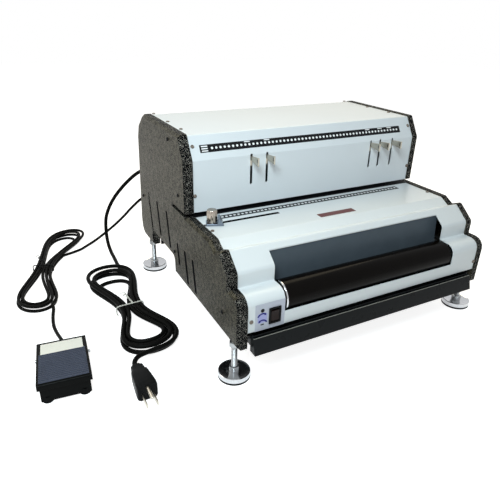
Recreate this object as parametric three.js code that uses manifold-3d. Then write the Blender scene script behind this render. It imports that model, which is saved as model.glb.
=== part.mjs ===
import * as THREE from 'three';
import { mergeVertices } from 'three/addons/utils/BufferGeometryUtils.js';
import Module from 'manifold-3d';

// Electric coil binding machine with its foot pedal and mains lead, in millimetres.
// X runs along the punch, Y from front to back, and Z up from the floor.
// A side view is drawn as pairs of Y and Z, and a third number rounds that corner.

// Fits shared by all pieces
const seatGap = 0.3;
const slideGap = 0.4;
const overrun = 6;
const sheetSteel = 1.5;
const floorGap = 0.1;
const bendSteps = 4;
const roundSides = 24;
const smallSides = 16;
const holeSides = 6;

// Hole pattern: four holes to the inch
const holeEndRoom = 31.051;
const holeCount = 53;
const holeRowShift = 0.7;
const dieHoleRadius = 2.3;
const punchPinRadius = 1.8;

// Side plates
const innerWidth = 389;
const plateThickness = 13;
const plateChamfer = 4;
const plateLip = 1.5;
const plateFootZ = 54;
const plateRearFootY = 181;
const plateRearFootZ = 84;
const plateHeelRadius = 20;
const plateHeelY = 178;
const archFrontY = 3.5;
const archRearY = 117;
const archTopZ = 84;
const archRadius = 10;
const throatRearY = 5.2;
const ventWidth = 7.5;
const ventLean = 12.5 * Math.PI / 180;
const rearVentTopY = 34.2;
const rearVentTopZ = 143;
const rearVentPitch = 45.1;
const rearVentLength = 52;
const rearVentLengthShares = [1, 0.96, 1.24];
const frontVentTopY = -70.7;
const frontVentTopZ = 108;
const frontVentPitch = 30.1;
const frontVentLength = 43;
const frontVentLengthShares = [1, 1, 0.65];

// Upper cover, seen from the side
const panelY = -45.8;
const panelFootZ = 169.5;
const upperCoverHeight = 108.2;
const facetHeight = 30.3;
const facetTopY = -27.4;
const coverBend = 3;
const shoulderY = 132;
const shoulderMidY = 157;
const shoulderMidDrop = 19.5;
const coverRearY = 166;
const shoulderFootDrop = 40;
const shoulderRadius = 14;
const coverRearFootZ = 178;

// Lower cover, seen from the side
const frontY = -210;
const coverFootZ = 74.7;
const shelfZ = 121.5;
const bulgeRadius = 14;
const noseY = -181.8;
const noseZ = 142;
const noseRadius = 8;
const shelfBend = 2;
const humpY = -157.6;
const humpZ = 162;
const humpRadius = 3;
const valleyY = -142.6;
const valleyZ = 155.2;
const valleyRadius = 2.5;
const deckFrontY = -127.2;
const deckZ = 163.8;
const deckRadius = 3;

// Opening for the coil roller
const coilMouthLeftInset = 51.5;
const coilMouthRightInset = 50.5;
const coilMouthRearY = -165;
const coilMouthFootZ = 92.3;
const coilMouthRadius = 0.8;

// Base plate, rear panel and rear crossbar
const basePlate = 3;
const baseFrontY = -166;
const chipSlotHalf = 12;
const crossbarRearY = 174;
const crossbarWall = 2.5;

// Die, punch guide and paper stop
const dieHeight = 23.8;
const dieFrontY = -49;
const dieRearY = 19;
const guideHeight = 15.2;
const guideFrontY = -42;
const guideSlotHalf = 2.4;
const stopFrontY = 5;

// Punch bar and its guides
const punchStroke = 10;
const punchBarHalfDepth = 14;
const punchBarHeight = 27;
const punchPinRestRise = 7.2;
const carriageInset = 26.5;
const carriageWidth = 8;
const carriageChannel = 4;
const carriageHalfDepth = 24;
const carriageTopDrop = 1.7;

// Camshaft, its bearings and drive
const camshaftDrop = 29.2;
const camshaftRadius = 9;
const camBaseRadius = 12;
const camRunClearance = 0.8;
const camInset = 66.5;
const camWidth = 16;
const camSteps = 28;
const bearingThickness = 8;
const bearingHalf = 16;
const camPulleyRadius = 22;
const pulleyWidth = 8;
const pulleyRunGap = 1;
const drivePulleyRadius = 18;
const driveShaftRadius = 6;
const beltThickness = 1.6;
const beltWidth = 7;
const gearMotorY = 110;
const gearboxHalfDepth = 35;
const gearboxHeight = 76;
const gearboxInset = 24.5;
const gearboxWidth = 62;
const motorRadius = 36;
const motorLength = 128;
const gearboxBoreDepth = 15;

// Coil inserter
const rollerRadius = 20;
const rollerY = -189;
const rollerZ = 102.5;
const rollerLeftRoom = 5;
const rollerRightRoom = 3;
const rollerShaftRadius = 5;
const rollerPulleyRadius = 11;
const earThickness = 3;
const earGap = 8;
const earRadius = 12;
const inserterWebFrontY = -164.5;
const inserterWebHeight = 30.4;
const inserterFootDepth = 16;
const inserterFoot = 2.5;
const apronThickness = 1.2;
const apronTopZ = 154.4;
const apronTopY = -163.5;
const apronMidY = -165.6;
const apronMidZ = 128;
const apronLowY = -167.4;
const apronLowZ = 110;
const apronFootY = -166.4;
const apronFootZ = 97;
const apronRadius = 40;
const inserterMotorRadius = 22;
const inserterMotorY = -118;
const inserterMotorLength = 84;
const inserterMotorRoom = 9;
const inserterPulleyRadius = 8;
const inserterPulleyRoom = 12;
const inserterPulleyWidth = 9;
const inserterMotorShaftRadius = 3;

// Roller switch on the front
const switchInset = 37.05;
const switchZ = 91.9;
const switchHalfWidth = 7.2;
const switchHalfHeight = 10.1;
const bezelOverlap = 1.1;
const bezelThickness = 1.3;
const switchDepth = 12;
const rockerHalfWidth = 5.4;
const rockerPivotInset = 2.8;
const rockerReach = 8.7;
const rockerHalfHeight = 7.1;
const rockerBackDepth = 5.1;
const rockerBackHalf = 5;
const rockerDish = 1;

// Chip drawer and its rails
const drawerFrontReach = 15;
const drawerFrontOverlap = 5;
const drawerFrontShortfall = 6;
const drawerFrontLean = 6;
const drawerFootZ = 50;
const drawerLipZ = 71;
const drawerFlangeRoom = 1.6;
const drawerSideRoom = 8.5;
const drawerRearY = -22;
const drawerTopZ = 68;
const drawerWall = 2;
const drawerFlange = 6;
const railThickness = 3;
const railWidth = 7.9;
const railFrontInset = 5;
const railRearY = -25;

// Die release tabs: the holes of the pattern that they stand over
const tabHoles = [10, 14, 44, 47, 51];
const tabSlotWidth = 4.2;
const tabSlotRise = 1.5;
const tabSlotShare = 0.605;
const tabThickness = 2;
const tabHeadY = -66.5;
const tabHeadRise = 0.4;
const tabHeadHeight = 11.8;
const tabNeckDrop = 2.1;
const tabNeckHeight = 6;
const tabBackHalf = 5;
const tabBackHeight = 14;
const tabBackThickness = 2;

// Edge guide on the deck and its knob
const guideInset = 12.5;
const guideY = -80;
const guideTurn = -22 * Math.PI / 180;
const guideHalfDepth = 7.5;
const guideBaseReach = 8;
const guideBaseHeight = 3;
const guideStepReach = 7.6;
const guideTopReach = 10.2;
const guideTopHeight = 11;
const guideFootReach = 15.8;
const guideSlotInset = 4.5;
const guideSlotLength = 111;
const guideSlotWidth = 4.2;
const guideStudRadius = 1.8;
const guideWasherRadius = 5;
const guideWasher = 2;
const knobRadius = 7;
const knobFlute = 0.6;
const knobHeight = 17.4;
const knobFlutes = 14;

// Levelling feet
const footFrontY = -190;
const footRearY = 137;
const footRadius = 21;
const footPad = 3;
const footDiscTopZ = 8.5;
const footConeTopZ = 12.8;
const footHubRadius = 7;
const footHubTopZ = 20;
const footStudRadius = 4;
const footStudTopZ = 70;
const footPadChamfer = 0.8;

// Foot pedal, drawn about the middle of its own floor area
const pedalX = -392.5;
const pedalY = -92.5;
const pedalTurn = -5.5 * Math.PI / 180;
const pedalHalfLength = 51.5;
const pedalHalfWidth = 31;
const pedalWall = 2;
const pedalRearTopZ = 17;
const pedalFrontTopZ = 30;
const pedalSkirtFrontZ = 22;
const pedalSkirtRearZ = 8;
const pedalBend = 2.5;
const pedalSideGap = 0.5;
const pedalBaseFrontY = -48.5;
const pedalBaseRearY = 47;
const pedalBaseFootZ = 2.8;
const pedalBaseFrontZ = 21.3;
const pedalBaseRearZ = 13.6;
const pedalFootRadius = 6.5;
const pedalFootX = 21;
const pedalFootY = 43;
const pedalPinY = 21;
const pedalPinZ = 11;
const pedalPinRadius = 2.2;
const pedalPinHalf = 34;
const pedalReliefLength = 9;
const pedalReliefRadius = 5;
const pedalCordZ = 8;

// Cord glands in the rear panel
const glandInset = 29.5;
const plugGlandZ = 160;
const pedalGlandZ = 115;
const glandFlange = 2;
const glandFlangeRadius = 9;
const glandNeckRadius = 6.5;
const glandNeckDepth = 6;
const glandTaper = 22;
const glandTipShare = 1.3;

// Plug with two blades and an earth pin
const plugX = -312;
const plugRearY = -134;
const plugZ = 12.3;
const plugLength = 51;
const plugStepShares = [0, 0.16, 0.36, 0.62, 0.86, 1];
const plugWidth = 25;
const plugHeight = 24;
const plugWidthShares = [0.36, 0.62, 0.8, 0.74, 1, 0.96];
const plugHeightShares = [0.38, 0.56, 0.76, 0.76, 1, 0.96];
const plugCornerShare = 0.45;
const bladePitch = 12.7;
const bladeThickness = 1.5;
const bladeWidth = 6.3;
const bladeLength = 16;
const bladeDrop = 5;
const earthPinRise = 6.9;
const earthPinRadius = 2.4;
const earthPinLength = 18;
const pinRoot = 3;

// Mains lead: its free stretch from the gland to the hank, chosen by hand
const plugCordDiameter = 6.5;
const plugCordRoute = [
  [-170, 216, 157.5],
  [-188, 238, 149],
  [-213, 252, 125.5],
  [-240, 256, 94],
  [-255, 257, 63],
  [-259, 254, 34],
  [-260, 243, 13.5],
  [-260, 224, 4.3],
  [-260, 200, 3.35],
  [-258, 172, 3.35],
];

// Pedal lead: its free stretch from the gland to the hank, chosen by hand
const pedalCordDiameter = 5;
const pedalCordRoute = [
  [-172, 213, 110.5],
  [-190, 228, 100],
  [-207, 246, 78],
  [-220, 266, 54],
  [-236, 282, 32],
  [-256, 289, 14.5],
  [-276, 285, 4.6],
  [-293, 273, 2.6],
  [-309, 259, 2.6],
  [-326, 251, 2.6],
];

// Pedal lead: from the side of its hank, down to the floor, into the pedal
const pedalTailRoute = [
  [-385, 62, 6.6],
  [-389, 40, 3.6],
  [-391, 18, 2.8],
  [-390, -2, 3.6],
];

// Mains lead: from its hank into the plug
const plugTailRoute = [
  [-295, -110.5, 10.6],
  [-305, -116, 11.4],
];

// Hanks: the waist, the lean of the axis, the reach and bow of the lobes
const hankLoops = 4;
const hankLoopSteps = 24;
const hankSides = 6;
const hankLooseness = 0.95;
const foldShare = 3;
const climbShare = 0.25;
const waistShare = 0.25;
const waistStepShare = 0.06;
const probeShare = 0.001;
const gapSamples = 6;
const plugHank = {
  waistX: -281,
  waistY: 8,
  lean: -3 * Math.PI / 180,
  upperReach: 149,
  lowerReach: 116,
  bowShare: 0,
  firstStep: -4,
  lastStep: 102,
};
const pedalHank = {
  waistX: -383,
  waistY: 200,
  lean: 18.5 * Math.PI / 180,
  upperReach: 165,
  lowerReach: 137,
  bowShare: 0.17,
  firstStep: -1,
  lastStep: 100,
};

// Free tubes
const tubeSides = 8;
const tubeStepShare = 2.5;

// Values worked out from the sizes above
const innerHalf = innerWidth / 2;
const outerHalf = innerHalf + plateThickness;
const coverHalf = innerHalf - seatGap;
const holePitch = (innerWidth - 2 * holeEndRoom) / (holeCount - 1);
const coverTopZ = deckZ + upperCoverHeight;
const facetFootZ = coverTopZ - facetHeight;
const shoulderMidZ = coverTopZ - shoulderMidDrop;
const shoulderFootZ = coverTopZ - shoulderFootDrop;
const tabSlotTopZ = facetFootZ + tabSlotRise;
const tabSlotFootZ = tabSlotTopZ - (facetFootZ - panelFootZ) * tabSlotShare;
const tabHeadTopZ = facetFootZ + tabHeadRise;
const tabNeckTopZ = tabHeadTopZ - tabNeckDrop;
const tabNeckFootZ = tabNeckTopZ - tabNeckHeight;
const drawerHalf = innerHalf - drawerSideRoom;
const drawerFrontLeftX = -drawerHalf - drawerFrontOverlap;
const drawerFrontRightX = drawerHalf - drawerFrontShortfall;
const drawerFrontY = frontY - drawerFrontReach;
const drawerFlangeRearY = frontY - drawerFlangeRoom;
const railFrontY = frontY + railFrontInset;
const coilMouthLeftX = coilMouthLeftInset - innerHalf;
const coilMouthRightX = innerHalf - coilMouthRightInset;
const carriageInnerX = innerHalf - carriageInset;
const carriageOuterX = carriageInnerX + carriageWidth;
const camOuterX = innerHalf - camInset;
const camInnerX = camOuterX - camWidth;
const gearboxLeftX = gearboxInset - innerHalf;
const gearboxRightX = gearboxLeftX + gearboxWidth;
const motorRightX = gearboxRightX + motorLength;
const rollerLeftX = coilMouthLeftX + rollerLeftRoom;
const rollerRightX = coilMouthRightX - rollerRightRoom;
const inserterPulleyX = rollerRightX + inserterPulleyRoom;
const inserterMotorRightX = inserterPulleyX - inserterMotorRoom;
const inserterMotorLeftX = inserterMotorRightX - inserterMotorLength;
const switchX = switchInset - innerHalf;
const guideX = guideInset - innerHalf;
const guideSlotLeftX = guideSlotInset - innerHalf;
const guideSlotRightX = guideSlotLeftX + guideSlotLength;
const glandX = glandInset - innerHalf;
const pedalBaseHalf = pedalHalfWidth - pedalWall - pedalSideGap;
const dieFootZ = deckZ - dieHeight;
const guideFootZ = panelFootZ + seatGap;
const guideTopZ = guideFootZ + guideHeight;
const punchPinFootZ = deckZ + punchPinRestRise;
const camshaftZ = coverTopZ - camshaftDrop;
const punchBarTopZ = camshaftZ - camBaseRadius - camRunClearance;
const punchBarFootZ = punchBarTopZ - punchBarHeight;
const baseFootZ = archTopZ + seatGap;
const baseTopZ = baseFootZ + basePlate;
const floorOfMotorsZ = baseTopZ + seatGap;
const gearMotorZ = floorOfMotorsZ + motorRadius + seatGap;
const inserterMotorZ = floorOfMotorsZ + inserterMotorRadius;
const bearingInnerX = coverHalf - bearingThickness;
const pulleyOuterX = -bearingInnerX + pulleyRunGap;
const pulleyInnerX = pulleyOuterX + pulleyWidth;
const rearPanelTopZ = coverRearFootZ - seatGap;
const footX = innerHalf + plateThickness / 2;
const earLeftX = rollerLeftX - earGap - seatGap;
const earRightX = rollerRightX + earGap + seatGap;

// Finishes as seen on the object
const finishes = {
  hammered: [0x55534a, 0.5, 0.2],
  shell: [0xd3dde0, 0.45, 0.0],
  deckShell: [0xe4ecec, 0.4, 0.0],
  blackSteel: [0x232527, 0.5, 0.1],
  bareSteel: [0xa6a8a8, 0.4, 0.9],
  toolSteel: [0x8b8d90, 0.35, 0.9],
  chrome: [0xd8d8d8, 0.12, 1.0],
  nickel: [0xb9b2a2, 0.3, 0.9],
  roller: [0x1d1a18, 0.25, 0.0],
  apron: [0x4c545c, 0.45, 0.1],
  blackPlastic: [0x16171a, 0.5, 0.0],
  rubber: [0x1b1b1b, 0.85, 0.0],
  pedalPaint: [0x22252c, 0.6, 0.0],
  cord: [0x161616, 0.6, 0.0],
  brass: [0xb59b5a, 0.35, 0.9],
  motorPaint: [0x3c4046, 0.55, 0.2],
};

const wasm = await Module();
wasm.setup();

const axisX = new THREE.Vector3(1, 0, 0);
const axisY = new THREE.Vector3(0, 1, 0);
const axisZ = new THREE.Vector3(0, 0, 1);
const sideView = new THREE.Matrix4().makeBasis(axisY, axisZ, axisX);
const frontView = new THREE.Matrix4().makeBasis(axisX, axisZ, axisY.clone().negate());

// Outlines

function rounded(corners, closed = false) {
  const count = corners.length;
  return corners.flatMap(([first, second, radius = 0], i) => {
    const here = new THREE.Vector2(first, second);
    const atEnd = !closed && (i === 0 || i === count - 1);
    if (atEnd || radius === 0) {
      return [here];
    }
    const last = corners[(i + count - 1) % count];
    const next = corners[(i + 1) % count];
    const toLast = new THREE.Vector2(last[0], last[1]).sub(here).normalize();
    const toNext = new THREE.Vector2(next[0], next[1]).sub(here).normalize();
    const half = Math.acos(toLast.dot(toNext)) / 2;
    const inward = toLast.clone().add(toNext).normalize();
    const centre = inward.multiplyScalar(radius / Math.sin(half)).add(here);
    const start = toLast.multiplyScalar(radius / Math.tan(half)).add(here);
    const end = toNext.multiplyScalar(radius / Math.tan(half)).add(here);
    const from = start.clone().sub(centre);
    const to = end.sub(centre);
    const sweep = Math.atan2(from.cross(to), from.dot(to));
    const steps = Array.from({ length: bendSteps + 1 }, (_, k) => k / bendSteps);
    return steps.map((share) => start.clone().rotateAround(centre, sweep * share));
  });
}

function leftOf(from, to) {
  const along = to.clone().sub(from).normalize();
  return new THREE.Vector2(-along.y, along.x);
}

function shifted(points, distance) {
  const last = points.length - 1;
  return points.map((point, i) => {
    const before = leftOf(points[Math.max(i - 1, 0)], points[Math.max(i, 1)]);
    const after = leftOf(points[Math.min(i, last - 1)], points[Math.min(i + 1, last)]);
    const reach = distance / (1 + before.dot(after));
    return before.add(after).multiplyScalar(reach).add(point);
  });
}

function sheetOutline(line, thickness) {
  return [...line, ...shifted(line, -thickness).reverse()];
}

function circle(first, second, radius, sides = roundSides) {
  return Array.from({ length: sides }, (_, k) => {
    const angle = (k / sides) * 2 * Math.PI;
    return new THREE.Vector2(first + radius * Math.cos(angle), second + radius * Math.sin(angle));
  });
}

function rectangle(low1, high1, low2, high2, radius = 0) {
  const corners = [[low1, low2], [high1, low2], [high1, high2], [low1, high2]];
  return rounded(corners.map((corner) => [...corner, radius]), true);
}

function pill(topFirst, topSecond, lean, length, width) {
  const points = circle(0, 0, width / 2, smallSides);
  return points.map((point) => {
    const along = point.y > 0 ? 0 : -length;
    point.y += along;
    point.rotateAround(new THREE.Vector2(), -lean);
    return point.add(new THREE.Vector2(topFirst, topSecond));
  });
}

// Runs round two pulleys at a given distance from them
function aroundPulleys(first, second, away) {
  const reach = second.centre.clone().sub(first.centre);
  const heading = reach.angle();
  const open = Math.acos((first.radius - second.radius) / reach.length());
  const arc = (pulley, from, to) => Array.from({ length: smallSides + 1 }, (_, k) => {
    const angle = from + (to - from) * (k / smallSides);
    const radius = pulley.radius + away;
    return new THREE.Vector2(Math.cos(angle), Math.sin(angle)).multiplyScalar(radius).add(pulley.centre);
  });
  return [
    ...arc(first, heading + open, heading + 2 * Math.PI - open),
    ...arc(second, heading - open, heading + open),
  ];
}

// Solids

function extrude(outline, depth, holes = []) {
  const shape = new THREE.Shape(outline);
  shape.holes = holes.map((hole) => new THREE.Path(hole));
  return new THREE.ExtrudeGeometry(shape, { depth, bevelEnabled: false });
}

function alongX(outline, lowX, highX, holes) {
  return extrude(outline, highX - lowX, holes).applyMatrix4(sideView).translate(lowX, 0, 0);
}

function alongY(outline, lowY, highY, holes) {
  return extrude(outline, highY - lowY, holes).applyMatrix4(frontView).translate(0, highY, 0);
}

function alongZ(outline, lowZ, highZ, holes) {
  return extrude(outline, highZ - lowZ, holes).translate(0, 0, lowZ);
}

function block(lowX, highX, lowY, highY, lowZ, highZ) {
  const box = new THREE.BoxGeometry(highX - lowX, highY - lowY, highZ - lowZ);
  return box.translate((lowX + highX) / 2, (lowY + highY) / 2, (lowZ + highZ) / 2);
}

function turnedZ(profile, sides = roundSides) {
  const points = profile.map(([radius, height]) => new THREE.Vector2(radius, height));
  return new THREE.LatheGeometry(points, sides).rotateX(Math.PI / 2);
}

function manifold(geometry) {
  const bare = geometry.clone();
  bare.deleteAttribute('normal');
  bare.deleteAttribute('uv');
  const merged = mergeVertices(bare);
  const vertProperties = merged.attributes.position.array;
  const triVerts = Uint32Array.from(merged.index.array);
  return new wasm.Manifold(new wasm.Mesh({ numProp: 3, vertProperties, triVerts }));
}

function geometryOf(solid) {
  const mesh = solid.getMesh();
  const geometry = new THREE.BufferGeometry();
  geometry.setAttribute('position', new THREE.BufferAttribute(mesh.vertProperties, 3));
  geometry.setIndex(new THREE.BufferAttribute(mesh.triVerts, 1));
  geometry.computeVertexNormals();
  return geometry;
}

function joined(...geometries) {
  return geometries.map(manifold).reduce((whole, next) => whole.add(next));
}

function carved(base, ...cutters) {
  const whole = base instanceof wasm.Manifold ? base : manifold(base);
  return geometryOf(cutters.reduce((rest, cutter) => rest.subtract(manifold(cutter)), whole));
}

function mirroredX(geometry) {
  const flipped = geometry.index ? geometry.toNonIndexed() : geometry.clone();
  flipped.scale(-1, 1, 1);
  const position = flipped.attributes.position;
  const corner = new THREE.Vector3();
  const other = new THREE.Vector3();
  for (let i = 0; i < position.count; i += 3) {
    corner.fromBufferAttribute(position, i);
    other.fromBufferAttribute(position, i + 2);
    position.setXYZ(i, other.x, other.y, other.z);
    position.setXYZ(i + 2, corner.x, corner.y, corner.z);
  }
  flipped.computeVertexNormals();
  return flipped;
}

// Model tree

const machine = new THREE.Group();
const pedal = new THREE.Group();
pedal.position.set(pedalX, pedalY, 0);
pedal.rotation.z = pedalTurn;
machine.add(pedal);

function add(name, geometry, finish, group = machine) {
  const [color, roughness, metalness] = finishes[finish];
  const material = new THREE.MeshStandardMaterial({ color, roughness, metalness });
  const mesh = new THREE.Mesh(geometry, material);
  mesh.name = name;
  group.add(mesh);
  return mesh;
}

function holeX(number) {
  return holeRowShift + holePitch * (number - (holeCount + 1) / 2);
}

function holeRow(radius, lowZ, highZ) {
  const numbers = Array.from({ length: holeCount }, (_, k) => k + 1);
  return numbers.map((number) => alongZ(circle(holeX(number), 0, radius, holeSides), lowZ, highZ));
}

// Side views that the covers and plates share

const lowerCorners = [
  [frontY, coverFootZ],
  [frontY, shelfZ, bulgeRadius],
  [noseY, shelfZ, shelfBend],
  [noseY, noseZ, noseRadius],
  [humpY, humpZ, humpRadius],
  [valleyY, valleyZ, valleyRadius],
  [deckFrontY, deckZ, deckRadius],
];
const upperCorners = [
  [panelY, facetFootZ, coverBend],
  [facetTopY, coverTopZ, coverBend],
  [shoulderY, coverTopZ, shoulderRadius],
  [shoulderMidY, shoulderMidZ, shoulderRadius],
  [coverRearY, shoulderFootZ, shoulderRadius],
];

// Frame

function ventSlots() {
  const slot = (y, z, length) => {
    const outline = pill(y, z, ventLean, length, ventWidth);
    return alongX(outline, -outerHalf - overrun, -innerHalf + overrun);
  };
  const rear = rearVentLengthShares.map((share, k) => {
    return slot(rearVentTopY + rearVentPitch * k, rearVentTopZ, rearVentLength * share);
  });
  const front = frontVentLengthShares.map((share, k) => {
    return slot(frontVentTopY + frontVentPitch * k, frontVentTopZ, frontVentLength * share);
  });
  return [...rear, ...front];
}

function studHole(y) {
  const hole = circle(-footX, y, footStudRadius + seatGap, smallSides);
  return alongZ(hole, plateFootZ - overrun, footStudTopZ + seatGap);
}

function leftPlate() {
  const edge = rounded([...lowerCorners, [panelY, deckZ], ...upperCorners, [coverRearY, coverRearFootZ]]);
  const proud = shifted(edge, plateLip).slice(1, -1);
  const heel = rounded([
    [plateRearFootY, plateRearFootZ],
    [plateHeelY, plateFootZ, plateHeelRadius],
    [frontY - plateLip, plateFootZ],
  ]);
  const shape = new THREE.Shape([...proud, ...heel]);
  const body = new THREE.ExtrudeGeometry(shape, {
    depth: plateThickness - plateChamfer,
    bevelThickness: plateChamfer,
    bevelSize: plateChamfer,
    bevelOffset: -plateChamfer,
    bevelSegments: 1,
  });
  body.applyMatrix4(sideView).translate(plateChamfer - outerHalf, 0, 0);
  const farSide = -innerHalf + plateChamfer + overrun;
  const innerFace = block(-innerHalf, farSide, 2 * frontY, -2 * frontY, -overrun, 2 * coverTopZ);
  const lowX = -outerHalf - overrun;
  const highX = -innerHalf + overrun;
  const archCorners = [
    [archFrontY, plateFootZ - overrun],
    [archRearY, plateFootZ - overrun],
    [archRearY, archTopZ, archRadius],
    [archFrontY, archTopZ, archRadius],
  ];
  const arch = alongX(rounded(archCorners, true), lowX, highX);
  const throat = block(lowX, highX, panelY - plateLip, throatRearY, deckZ, panelFootZ);
  const studs = [studHole(footFrontY), studHole(footRearY)];
  return carved(body, innerFace, arch, throat, ...ventSlots(), ...studs);
}

function upperCover() {
  const corners = [[panelY, panelFootZ], ...upperCorners, [coverRearY, coverRearFootZ]];
  const body = alongX(sheetOutline(rounded(corners), sheetSteel), -coverHalf, coverHalf);
  const slots = tabHoles.map((number) => {
    const length = tabSlotTopZ - tabSlotFootZ - tabSlotWidth;
    const outline = pill(holeX(number), tabSlotTopZ - tabSlotWidth / 2, 0, length, tabSlotWidth);
    return alongY(outline, panelY - overrun, panelY + overrun);
  });
  return carved(body, ...slots);
}

function lowerCover() {
  const corners = [...lowerCorners, [dieFrontY - seatGap, deckZ]];
  const body = alongX(sheetOutline(rounded(corners), sheetSteel), -coverHalf, coverHalf);
  const mouthCorners = [
    [coilMouthLeftX, coilMouthFootZ, coilMouthRadius],
    [coilMouthRightX, coilMouthFootZ, coilMouthRadius],
    [coilMouthRightX, deckZ + overrun],
    [coilMouthLeftX, deckZ + overrun],
  ];
  const mouth = alongY(rounded(mouthCorners, true), frontY - overrun, coilMouthRearY);
  const wide = switchHalfWidth + seatGap;
  const high = switchHalfHeight + seatGap;
  const switchHole = rectangle(switchX - wide, switchX + wide, switchZ - high, switchZ + high);
  const half = guideSlotWidth / 2;
  const slot = rectangle(guideSlotLeftX, guideSlotRightX, guideY - half, guideY + half);
  return carved(
    body,
    mouth,
    alongY(switchHole, frontY - overrun, frontY + overrun),
    alongZ(slot, deckZ - overrun, deckZ + overrun),
  );
}

function basePlateSolid() {
  const slotHalf = holeX(holeCount) + chipSlotHalf;
  const plate = rectangle(-coverHalf, coverHalf, baseFrontY, coverRearY - sheetSteel - seatGap);
  const slot = rectangle(-slotHalf, slotHalf, -chipSlotHalf, chipSlotHalf);
  return alongZ(plate, baseFootZ, baseTopZ, [slot]);
}

function rearPanel() {
  const plate = rectangle(-coverHalf, coverHalf, baseTopZ + seatGap, rearPanelTopZ);
  const holes = [plugGlandZ, pedalGlandZ].map((z) => {
    return circle(glandX, z, glandNeckRadius + seatGap, smallSides);
  });
  return alongY(plate, coverRearY - sheetSteel, coverRearY, holes);
}

function rearCrossbar() {
  const frontFace = archRearY - crossbarWall * 2;
  const outline = [
    [frontFace, plateFootZ],
    [frontFace, archTopZ],
    [crossbarRearY, archTopZ],
    [crossbarRearY, plateFootZ],
    [crossbarRearY - crossbarWall, plateFootZ],
    [crossbarRearY - crossbarWall, archTopZ - crossbarWall],
    [frontFace + crossbarWall, archTopZ - crossbarWall],
    [frontFace + crossbarWall, plateFootZ],
  ];
  return alongX(rounded(outline, true), -coverHalf, coverHalf);
}

// Punch

function dieBlock() {
  const body = block(-coverHalf, coverHalf, dieFrontY, dieRearY, dieFootZ, deckZ);
  return carved(body, ...holeRow(dieHoleRadius, dieFootZ - overrun, deckZ + overrun));
}

function punchGuide() {
  const slotHalf = carriageInnerX;
  const plate = rectangle(-coverHalf, coverHalf, guideFrontY, dieRearY);
  const slot = rectangle(-slotHalf, slotHalf, -guideSlotHalf, guideSlotHalf);
  return alongZ(plate, guideFootZ, guideTopZ, [slot]);
}

function punchBar() {
  const half = carriageInnerX + carriageChannel - seatGap;
  const body = block(-half, half, -punchBarHalfDepth, punchBarHalfDepth, punchBarFootZ, punchBarTopZ);
  return geometryOf(joined(body, ...holeRow(punchPinRadius, punchPinFootZ, punchBarFootZ + overrun)));
}

function carriageGuide() {
  const channelHalf = punchBarHalfDepth + slideGap;
  const channelX = -carriageInnerX - carriageChannel;
  const outline = [
    [-carriageOuterX, -carriageHalfDepth],
    [-carriageInnerX, -carriageHalfDepth],
    [-carriageInnerX, -channelHalf],
    [channelX, -channelHalf],
    [channelX, channelHalf],
    [-carriageInnerX, channelHalf],
    [-carriageInnerX, carriageHalfDepth],
    [-carriageOuterX, carriageHalfDepth],
  ];
  return alongZ(rounded(outline, true), guideTopZ + seatGap, punchBarTopZ - carriageTopDrop);
}

function bearing() {
  const outline = rectangle(-bearingHalf, bearingHalf, camshaftZ - bearingHalf, camshaftZ + bearingHalf);
  const bore = circle(0, camshaftZ, camshaftRadius + seatGap);
  return alongX(outline, -coverHalf, -bearingInnerX, [bore]);
}

// Each cam's radius grows evenly with angle, from the side that meets the bar at rest
function camOutline() {
  return Array.from({ length: camSteps }, (_, k) => {
    const angle = (k / camSteps) * 2 * Math.PI - Math.PI;
    const radius = camBaseRadius + punchStroke * Math.abs(angle) / Math.PI;
    return new THREE.Vector2(radius * Math.sin(angle), camshaftZ - radius * Math.cos(angle));
  });
}

function camshaft() {
  const half = coverHalf - seatGap;
  const shaft = alongX(circle(0, camshaftZ, camshaftRadius), -half, half);
  const pulley = alongX(circle(0, camshaftZ, camPulleyRadius), pulleyOuterX, pulleyInnerX);
  const cams = [-1, 1].map((side) => {
    const ends = [side * camInnerX, side * camOuterX];
    return alongX(camOutline(), Math.min(...ends), Math.max(...ends));
  });
  return geometryOf(joined(shaft, pulley, ...cams));
}

function gearMotor() {
  const gearbox = block(
    gearboxLeftX, gearboxRightX,
    gearMotorY - gearboxHalfDepth, gearMotorY + gearboxHalfDepth,
    floorOfMotorsZ, floorOfMotorsZ + gearboxHeight,
  );
  const can = alongX(circle(gearMotorY, gearMotorZ, motorRadius), gearboxRightX - overrun, motorRightX);
  const bore = circle(gearMotorY, gearMotorZ, driveShaftRadius + seatGap, smallSides);
  const boring = alongX(bore, gearboxLeftX - overrun, gearboxLeftX + gearboxBoreDepth);
  return carved(joined(gearbox, can), boring);
}

function drivePulley() {
  const wheel = alongX(circle(gearMotorY, gearMotorZ, drivePulleyRadius), pulleyOuterX, pulleyInnerX);
  const outline = circle(gearMotorY, gearMotorZ, driveShaftRadius, smallSides);
  const shaft = alongX(outline, pulleyInnerX - overrun, gearboxLeftX + gearboxBoreDepth - seatGap);
  return geometryOf(joined(wheel, shaft));
}

function belt(first, second, lowX, highX) {
  const outer = aroundPulleys(first, second, seatGap + beltThickness);
  const inner = aroundPulleys(first, second, seatGap);
  return alongX(outer, lowX, highX, [inner]);
}

function driveBelt() {
  const edge = (pulleyWidth - beltWidth) / 2;
  const top = { centre: new THREE.Vector2(0, camshaftZ), radius: camPulleyRadius };
  const low = { centre: new THREE.Vector2(gearMotorY, gearMotorZ), radius: drivePulleyRadius };
  return belt(top, low, pulleyOuterX + edge, pulleyInnerX - edge);
}

// Coil inserter

function roller() {
  const drum = alongX(circle(rollerY, rollerZ, rollerRadius, roundSides * 2), rollerLeftX, rollerRightX);
  const lowX = earLeftX - earThickness;
  const highX = inserterPulleyX + inserterPulleyWidth;
  const shaft = alongX(circle(rollerY, rollerZ, rollerShaftRadius, smallSides), lowX, highX);
  const pulley = alongX(circle(rollerY, rollerZ, rollerPulleyRadius), inserterPulleyX, highX);
  return geometryOf(joined(drum, shaft, pulley));
}

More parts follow.
